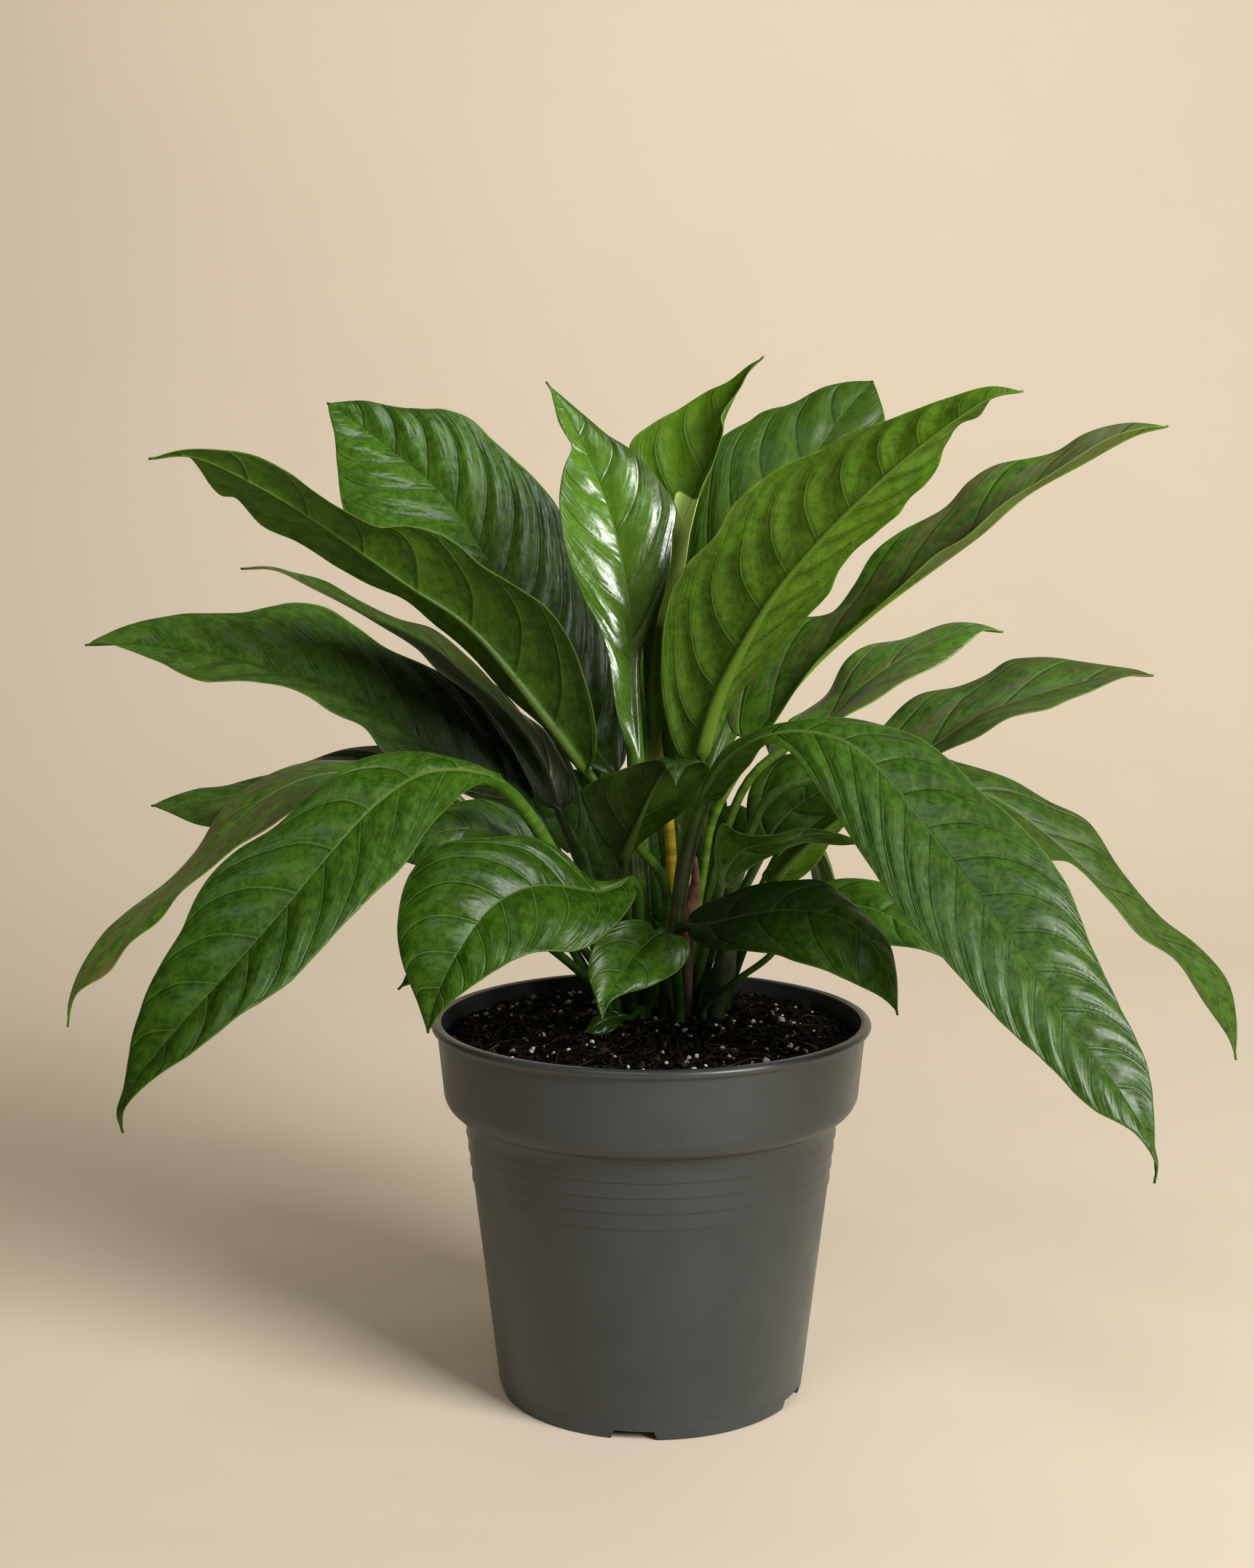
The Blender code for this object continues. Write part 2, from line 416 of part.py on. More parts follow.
def blade_lines(leaf, shares):
    """The rib and the two margins in space, at shares of the blade's length."""
    rib = spaced(smooth_curve(leaf["rib"]), shares, 2)
    ends = [leaf["rib"][0][:2], leaf["rib"][-1][:2]]
    half = half_width(leaf["width"], shares)
    sides = []
    for margin, lean in zip((leaf["left"], leaf["right"]), leaf["lean"]):
        seen = spaced(smooth_curve([ends[0], *margin, ends[1]]), shares, 2)
        sides.append(sight(np.column_stack([seen, rib[:, 2] + lean * half])))
    return sight(rib), sides[0], sides[1]


def turned_lines(lines, leaf):
    """The lines of another leaf, turned about the crown and drawn in or out."""
    turn = math.radians(leaf["turn"])
    spin = np.array([[math.cos(turn), -math.sin(turn)], [math.sin(turn), math.cos(turn)]])
    crown = np.array([CROWN_X, CROWN_Y])
    moved = []
    for line in lines:
        flat = (line[:, :2] - crown) @ spin.T * leaf["reach"] + crown
        height = SOIL_TOP + (line[:, 2] - SOIL_TOP) * leaf["lift"] + leaf["rise"]
        moved.append(np.column_stack([flat, height]))
    return moved


def soil_height(x, y):
    """The height of the mix, which rises towards the middle."""
    away = math.hypot(x, y) / SOIL_MOUND_RADIUS
    return SOIL_TOP + SOIL_MOUND * math.exp(-away * away)


def spread_feet(leaves):
    """The places where the stalks stand, with any two that are too close moved apart."""
    crown = np.array([CROWN_X, CROWN_Y])
    feet = crown + FEET_DRAWN * (np.array([leaf["foot"] for leaf in leaves.values()], float) - crown)
    stalks = [max(leaf["radii"]) if "radii" in leaf else LEAVES[leaf.get("like", name)]["stalk"]
              for name, leaf in leaves.items()]
    room = np.array(stalks) + FEET_APART / 2
    for _ in range(300):
        for i in range(len(feet)):
            away = feet[i] - feet
            distance = np.linalg.norm(away, axis=1)
            apart = room + room[i]
            distance[i] = apart[i]
            push = np.maximum(apart - distance, 0)[:, None] * unit(away)
            feet[i] += 0.25 * push.sum(axis=0)
    return dict(zip(leaves, feet))


def standing(foot):
    """The two points that a stalk stands on: its end inside the mix and one just over the mix."""
    level = soil_height(*foot)
    return np.array([[*foot, level - STALK_DEPTH], [*foot, level + STALK_RISE]])


def stalk_line(foot, via, rib):
    """The stalk from inside the mix to the blade's base, which it meets along the rib."""
    low, high = standing(foot)
    dense = smooth_curve([low, high, *via, *rib[:3]])
    first = int(np.argmin(np.linalg.norm(dense - high, axis=1)))
    last = int(np.argmin(np.linalg.norm(dense - rib[0], axis=1)))
    shares = np.linspace(0, 1, STALK_RINGS - 1, endpoint=False)
    return np.vstack([low, spaced(dense[first : last + 1], shares, 3)])


def leaf_mesh(name, lines, foot, leaf):
    """The closed mesh of a leaf with its stalk."""
    rib, left, right = lines
    via = sight(leaf["via"]) if "via" in leaf else []
    centre = np.vstack([stalk_line(foot, via, rib), rib])
    shares = np.linspace(0, 1, len(rib))
    radius = np.concatenate([np.full(STALK_RINGS, leaf["stalk"]), rib_radius(leaf["stalk"], shares)])
    rings = leaf_rings(centre, left, right, leaf["under"], radius, leaf["arch"])
    return loft(name, rings - centre[0])


def rib_radius(stalk, share):
    return TIP_RADIUS + (stalk - TIP_RADIUS) * (1 - share) ** 1.2


def leaf_rings(centre, left, right, under, radius, arch):
    """Rings of points round the stalk and the blade: the upper face from left to right, then the under face."""
    stalk_rings = len(centre) - len(left)
    along = unit(np.gradient(centre, axis=0))
    ways = []
    for margin in (left, right):
        out = margin - centre[stalk_rings:]
        way = unit(out)
        way[0] = way[1]
        way[-1] = way[-2]
        ways.append((unit(smoothed(way, 1)), np.linalg.norm(out, axis=1)))
    across = unit(ways[1][0] - ways[0][0])
    across = np.vstack([np.repeat(across[:1], stalk_rings, axis=0), across])
    across = unit(across - (across * along).sum(axis=1, keepdims=True) * along)
    upper = -1 if under else 1
    normal = unit(np.cross(across, along)) * upper
    rings = []
    for i, middle in enumerate(centre):
        size = radius[i]
        circle = [middle + size * (math.cos(turn) * across[i] + math.sin(turn) * normal[i]) for turn in RING_TURNS]
        j = i - stalk_rings
        if j < 0:
            rings.append(circle)
            continue
        ring = []
        for share, face, round_point in zip(RING_SHARES, RING_FACES, circle):
            way, length = ways[0 if share < 0 else 1]
            if abs(share) < RIB_SHARE:
                flat = middle + way[j] * min(size, 0.3 * length[j]) + normal[i] * (face * BLADE_THICK / 2)
                if face < 0:
                    flat -= normal[i] * RIB_PROUD * size
            else:
                own = unit(np.cross(way[j], along[i])) * upper * (1 if share > 0 else -1)
                lift = arch * length[j] * 4 * abs(share) * (1 - abs(share)) + face * BLADE_THICK / 2
                flat = middle + way[j] * abs(share) * length[j] + own * lift
            spread = min(max((length[j] / size - 1.0) / 2.5, 0.0), 1.0)
            spread = spread * spread * (3 - 2 * spread)
            ring.append(flat * spread + round_point * (1 - spread))
        rings.append(ring)
    return np.array(rings)


def sheath_curve(name, foot, sheath):
    """A bare sheath as a curve whose radius changes along it."""
    low, high = standing(foot)
    dense = smooth_curve([high, *sight(sheath["points"])])
    shares = np.linspace(0, 1, 5)
    line = np.vstack([low, spaced(dense, shares, 3)]) - low
    radii = np.interp(shares, np.linspace(0, 1, len(sheath["radii"])), sheath["radii"])
    curve = bpy.data.curves.new(name, "CURVE")
    curve.dimensions = "3D"
    curve.bevel_depth = MM
    curve.bevel_resolution = 2
    curve.use_fill_caps = True
    spline = curve.splines.new("POLY")
    spline.points.add(len(line) - 1)
    for point, place, radius in zip(spline.points, line, [radii[0], *radii]):
        point.co = (*(place * MM), 1)
        point.radius = radius
    return curve


def loft(name, rings):
    """A closed mesh over the rings, with both faces of the blade split along the same diagonals."""
    count = rings.shape[1]
    top = count // 2
    faces = []
    for i in range(len(rings) - 1):
        low = i * count
        high = low + count
        for k in range(top - 1):
            under = count - 1 - k
            faces.append((low + k, low + k + 1, high + k + 1))
            faces.append((low + k, high + k + 1, high + k))
            faces.append((low + under, high + under - 1, low + under - 1))
            faces.append((low + under, high + under, high + under - 1))
        for k, after in ((top - 1, top), (count - 1, 0)):
            faces.append((low + k, low + after, high + after))
            faces.append((low + k, high + after, high + k))
    last = (len(rings) - 1) * count
    for k in range(1, count - 1):
        faces.append((0, k + 1, k))
        faces.append((last, last + k, last + k + 1))
    mesh = bpy.data.meshes.new(name)
    mesh.from_pydata((rings.reshape(-1, 3) * MM).tolist(), [], faces)
    work = bmesh.new()
    work.from_mesh(mesh)
    bmesh.ops.recalc_face_normals(work, faces=work.faces)
    work.to_mesh(mesh)
    work.free()
    mesh.shade_smooth()
    return mesh


def turned(name, profile):
    """An object that turns a profile of radius and height about the axis. The profile runs down its outer side."""
    mesh = bpy.data.meshes.new(name)
    points = [(radius * MM, 0, height * MM) for radius, height in profile]
    mesh.from_pydata(points, [(k, k + 1) for k in range(len(points) - 1)], [])
    item = bpy.data.objects.new(name, mesh)
    screw = item.modifiers.new("turn", "SCREW")
    screw.steps = POT_SIDES
    screw.render_steps = POT_SIDES
    screw.use_merge_vertices = True
    screw.merge_threshold = 0.00005
    screw.use_smooth_shade = True
    return item


def pot_inside(inset):
    """The profile of the pot's inside from its floor to its rim, drawn in by an inset."""
    shoulder = POT_HEIGHT - POT_COLLAR_DEPTH
    wall = POT_WALL + inset
    return [
        (POT_BASE_RADIUS - wall + 0.8, POT_FLOOR + inset),
        (POT_SHOULDER_RADIUS - wall, shoulder - POT_SHOULDER_DROP + 1.4),
        (POT_COLLAR_LOW_RADIUS - wall - 1.2, shoulder - 3.2),
        (POT_COLLAR_LOW_RADIUS - wall, shoulder + 0.6),
        (POT_RIM_RADIUS - POT_BEAD_PROUD - wall, POT_HEIGHT - 1.5),
    ]


def pot_object():
    """The pot, with its wall, the rolled shoulder under its collar and the bead of its rim."""
    shoulder = POT_HEIGHT - POT_COLLAR_DEPTH
    collar = POT_RIM_RADIUS - POT_BEAD_PROUD
    foot = POT_BASE_RADIUS - FOOT_WIDTH
    outside = [
        (collar - POT_WALL + 0.9, POT_HEIGHT),
        (POT_RIM_RADIUS - 1.0, POT_HEIGHT),
        (POT_RIM_RADIUS, POT_HEIGHT - 1.2),
        (POT_RIM_RADIUS, POT_HEIGHT - POT_BEAD + 1.0),
        (POT_RIM_RADIUS - 0.6, POT_HEIGHT - POT_BEAD),
        (collar, POT_HEIGHT - POT_BEAD - 0.4),
        (POT_COLLAR_LOW_RADIUS, shoulder + 0.6),
        (POT_COLLAR_LOW_RADIUS - 1.6, shoulder - 3.6),
        (POT_SHOULDER_RADIUS + 4.2, shoulder - POT_SHOULDER_DROP + 0.9),
        (POT_SHOULDER_RADIUS, shoulder - POT_SHOULDER_DROP),
        (POT_BASE_RADIUS, 0.8),
        (POT_BASE_RADIUS - 0.7, 0),
        (foot, 0),
        (foot, POT_FLOOR - POT_FLOOR_THICK),
        (0, POT_FLOOR - POT_FLOOR_THICK),
    ]
    return turned("pot", [(0, POT_FLOOR), *pot_inside(0.0), *outside])


def soil_object():
    """The mix, which keeps a small gap from the pot."""
    wall = pot_inside(GAP)
    low, high = wall[-2], wall[-1]
    edge = low[0] + (high[0] - low[0]) * (SOIL_TOP - low[1]) / (high[1] - low[1])
    top = [edge * ring / SOIL_RINGS for ring in range(SOIL_RINGS + 1)]
    profile = [(radius, soil_height(radius, 0)) for radius in top]
    return turned("soil", [*profile, *wall[-2::-1], (0, POT_FLOOR + GAP)])


def cylinders(name, places, sides):
    """Upright cylinders, each from a place and a radius with a low and a high end, in one mesh."""
    work = bmesh.new()
    for x, y, radius, low, high in places:
        move = Matrix.Translation((x * MM, y * MM, (low + high) / 2 * MM))
        bmesh.ops.create_cone(work, cap_ends=True, segments=sides, radius1=radius * MM, radius2=radius * MM,
                              depth=(high - low) * MM, matrix=move)
    mesh = bpy.data.meshes.new(name)
    work.to_mesh(mesh)
    work.free()
    return mesh


def notches():
    """The bars that cut the notches in the foot, narrower at the top."""
    work = bmesh.new()
    for k in range(FOOT_NOTCHES):
        bar = bmesh.ops.create_cube(work, size=1)["verts"]
        spin = Matrix.Rotation(math.radians(FOOT_NOTCH_TURN) + 2 * math.pi * k / FOOT_NOTCHES, 4, "Z")
        for vertex in bar:
            high = vertex.co.z > 0
            vertex.co.x = (POT_BASE_RADIUS - 3 + 11 * vertex.co.x) * MM
            vertex.co.y *= (FOOT_NOTCH_WIDTH - (4.4 if high else 0)) * MM
            vertex.co.z = (FOOT_NOTCH_HEIGHT if high else -2) * MM
        bmesh.ops.transform(work, matrix=spin, verts=bar)
    mesh = bpy.data.meshes.new("foot_notches")
    work.to_mesh(mesh)
    work.free()
    return mesh


def add_part(item, collection, colour, roughness):
    """Puts an object in its collection with a material of its own."""
    collection.objects.link(item)
    paint = bpy.data.materials.new(item.name)
    paint.use_nodes = True
    shader = paint.node_tree.nodes["Principled BSDF"]
    shader.inputs["Base Color"].default_value = (*colour, 1)
    shader.inputs["Roughness"].default_value = roughness
    paint.diffuse_color = (*colour, 1)
    item.data.materials.append(paint)
    return item


def add_cutter(mesh, collection):
    item = bpy.data.objects.new(mesh.name, mesh)
    collection.objects.link(item)
    item.hide_render = True
    item.display_type = "WIRE"
    return item


def cut(item, cutter):
    modifier = item.modifiers.new(cutter.name, "BOOLEAN")
    modifier.operation = "DIFFERENCE"
    modifier.solver = "EXACT"
    modifier.object = cutter


def main():
    for item in list(bpy.data.objects):
        bpy.data.objects.remove(item)
    parts = bpy.data.collections.new("potted_anthurium")
    cutters = bpy.data.collections.new("cutters")
    cutters.hide_render = True
    for collection in (parts, cutters):
        bpy.context.scene.collection.children.link(collection)

    pot = add_part(pot_object(), parts, POT_COLOUR, 0.5)
    cut(pot, add_cutter(notches(), cutters))
    turns = [2 * math.pi * k / DRAIN_HOLES for k in range(DRAIN_HOLES)]
    drains = [(DRAIN_HOLE_RING * math.cos(turn), DRAIN_HOLE_RING * math.sin(turn), DRAIN_HOLE_RADIUS, 2, 9)
              for turn in turns]
    cut(pot, add_cutter(cylinders("drain_holes", drains, 16), cutters))

    crown = bpy.data.objects.new("crown", None)
    parts.objects.link(crown)
    crown.parent = pot
    feet = spread_feet({**LEAVES, **TURNED, **SHEATHS})
    holes = []
    for name, foot in feet.items():
        if name in SHEATHS:
            radius = SHEATHS[name]["radii"][0]
            shape = sheath_curve(name, foot, SHEATHS[name])
            colour = SHEATH_COLOUR
        else:
            turn = TURNED.get(name)
            leaf = LEAVES[turn["like"] if turn else name]
            size = 1 if turn else sum(leaf["width"] >= width for width in BLADE_RING_WIDTHS)
            lines = blade_lines(leaf, np.linspace(0, 1, BLADE_RINGS[size]))
            if turn:
                leaf = {key: value for key, value in leaf.items() if key != "via"}
                lines = turned_lines(lines, turn)
            radius = leaf["stalk"]
            shape = leaf_mesh(name, lines, foot, leaf)
            colour = UNDER_COLOUR if leaf["under"] else UPPER_COLOUR
        item = add_part(bpy.data.objects.new(name, shape), parts, colour, 0.3)
        item.parent = crown
        item.location = Vector(standing(foot)[0]) * MM
        level = soil_height(*foot)
        holes.append((*foot, radius + GAP + HOLE_SLACK, level - STALK_DEPTH - 1, level + 8))
    soil = add_part(soil_object(), parts, SOIL_COLOUR, 0.9)
    cut(soil, add_cutter(cylinders("stalk_holes", holes, HOLE_SIDES), cutters))


main()
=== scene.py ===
"""The looks of the potted anthurium: fine leaves with their veins, the grain of the mix and the pot's finish.

Sizes and places are in millimetres and become metres where a mesh is made. Those of the studio are in metres. The
leaves are placed by sight: a point is the column and row where it is seen in a picture 1724 pixels wide and 2156
high, with its depth behind the pot's axis. Colours are linear red, green and blue.
"""

import math

import bmesh
import bpy
import numpy as np
from mathutils import Matrix, Vector, noise


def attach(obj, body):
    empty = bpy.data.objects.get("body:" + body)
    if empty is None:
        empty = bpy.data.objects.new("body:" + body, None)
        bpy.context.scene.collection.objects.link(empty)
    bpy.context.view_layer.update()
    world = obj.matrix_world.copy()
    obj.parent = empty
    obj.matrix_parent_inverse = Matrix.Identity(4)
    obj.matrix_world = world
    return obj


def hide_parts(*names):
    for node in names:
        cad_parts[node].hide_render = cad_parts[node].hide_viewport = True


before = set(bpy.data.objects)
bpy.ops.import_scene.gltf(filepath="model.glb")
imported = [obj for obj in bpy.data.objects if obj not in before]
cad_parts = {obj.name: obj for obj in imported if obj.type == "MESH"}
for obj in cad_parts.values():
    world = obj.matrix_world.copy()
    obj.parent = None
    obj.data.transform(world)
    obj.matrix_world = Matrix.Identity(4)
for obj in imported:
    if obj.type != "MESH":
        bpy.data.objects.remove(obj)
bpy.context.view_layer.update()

MM = 0.001

# The eye: 885 mm in front of the pot's axis and 370 mm up, looking down a little.
SIGHT_BACK = 885.0
SIGHT_HEIGHT = 370.0
SIGHT_SIDE = -10.4
SIGHT_PITCH = math.radians(6.81)
SIGHT_FOCAL = 2863.0
SIGHT_COLUMN = 862.0
SIGHT_ROW = 1078.0
SENSOR = 36.0

# The pot, whose sizes are those of the solids, with the fine rings pressed into its wall.
POT_RIM_RADIUS = 95.0
POT_HEIGHT = 163.0
POT_BEAD = 3.8
POT_BEAD_PROUD = 2.6
POT_COLLAR_LOW_RADIUS = 89.8
POT_COLLAR_DEPTH = 32.0
POT_SHOULDER_RADIUS = 81.1
POT_SHOULDER_DROP = 8.0
POT_BASE_RADIUS = 66.5
POT_WALL = 1.8
POT_WALL_START = 0.8
POT_FLOOR = 7.0
POT_FLOOR_THICK = 2.4
POT_SIDES = 160
POT_RINGS = (113.0, 106.4, 99.9, 93.0)
POT_RING_PROUD = 0.5
POT_LINE = 7.0
POT_SHARP_ANGLE = 38
FOOT_WIDTH = 3.6
FOOT_NOTCHES = 5
FOOT_NOTCH_WIDTH = 21.0
FOOT_NOTCH_HEIGHT = 4.0
FOOT_NOTCH_TURN = -96.5
FOOT_NOTCH_TAPER = 4.4
NOTCH_BAR = 11
NOTCH_BAR_IN = 3
NOTCH_BAR_BELOW = 2
DRAIN_HOLES = 6
DRAIN_HOLE_RADIUS = 4.5
DRAIN_HOLE_RING = 42.0
DRAIN_HOLE_SIDES = 28
DRAIN_ROD = 7
DRAIN_ROD_MIDDLE = 5.5

# The potting mix with its lumps, and the chips, fibres and white grains that lie on it. Each kind starts inside a
# circle of its own, and nothing reaches past the last circle.
SOIL_TOP = 154.0
SOIL_MOUND = 8.0
SOIL_MOUND_RADIUS = 60.0
SOIL_CLEAR = 0.3
SOIL_BELOW_RIM = 3.5
SOIL_RINGS = 70
SOIL_SIDES = 200
SOIL_ROUGH = 1.6
SOIL_LUMP = 7.0
SOIL_FINE_LUMP = 2.2
SOIL_FINE_SHARE = 0.35
CHIPS = 5600
CHIPS_SEED = 7
CHIPS_RADIUS = 87.5
FIBRES = 560
FIBRES_SEED = 11
FIBRES_RADIUS = 84.0
FIBRE_ENDS_RADIUS = 87.0
FIBRE_RINGS = 7
GRAINS = 260
GRAINS_SEED = 5
GRAINS_RADIUS = 86.5
LOOSE_RADIUS = 88.5

# The middle of the crown, the clear room between two stalks, and how near to the crown their feet are drawn.
CROWN_X = 5.0
CROWN_Y = 22.0
FEET_APART = 2.6
FEET_DRAWN = 0.78
FEET_ROUNDS = 300
FEET_PUSH = 0.25

# A stalk starts inside the mix and comes straight up through its top. Rings of points follow the stalk and the
# rib, and they lie closer together on the leaves that the eye sees. A curve has a few steps between two points.
STALK_DEPTH = 8.0
STALK_RISE = 5.0
STALK_RINGS = 20
RING_STEP = 1.8
HIDDEN_STEP = 3.6
FEWEST_RINGS = 48
CURVE_STEPS = 12

# The blade's thickness, the margin's share of it, the rib's radius at the tip, and the share of the blade's rings
# over which its ways across are evened.
BLADE_THICK = 0.55
MARGIN_THICK = 0.55
TIP_RADIUS = 0.5
SMOOTH_SHARE = 0.078

# Where a stalk is round, the upper points of a ring stand between these two angles, in degrees.
ROUND_FROM = 168
ROUND_TO = 12

# How far from the rib the points of a ring lie: the near ones in rib radii, then evenly out to the margin.
RIB_STEPS = (0.35, 0.75, 1.1, 1.6)
SIDE_STEPS = 14
EDGE_STEP = 0.7
LEAST_STEP = 0.01

# The rib takes up at most a share of a half blade. Below, it stands proud by its radius times a number. Above, it
# is a groove, whose depth is that on a rib of the usual radius.
RIB_SHARE = 0.3
RIB_PROUD = 1.3
RIB_GROOVE = 0.35
RIB_USUAL = 2.2

# The room between side veins, the number from which they are counted, how many strengths the swellings between
# them have, how many waves a margin has and how high they are, and the half widths from which swellings and waves
# have their full height.
VEIN_APART = 24.0
VEINS_BEFORE = 9
SWELLINGS = 40
MARGIN_WAVES = 2.6
MARGIN_WAVE = 1.2
FULL_QUILT = 20
FULL_WAVE = 22

# Where the swellings start and fade, first as shares of the way from rib to margin, then of the way from base to
# tip.
SWELL_FROM = (0.04, 0.3)
SWELL_TO = (0.7, 1.0)
SWELL_BASE = (0.0, 0.12)
SWELL_TIP = (0.86, 1.0)

# Shares of the way from the blade's base to its tip: where the look at the base turns into that at the tip, and
# where the painted pale, brightly lit strip of the fold starts and stops. Then how soon the painted shade on one
# side is full, as a share of the half blade.
LOOK_TURNS = (0.2, 0.7)
FOLD_STARTS = (0.1, 0.5)
FOLD_STOPS = (0.59, 0.63)
PAINTED_SIDE_SHADE_WIDE = 0.3

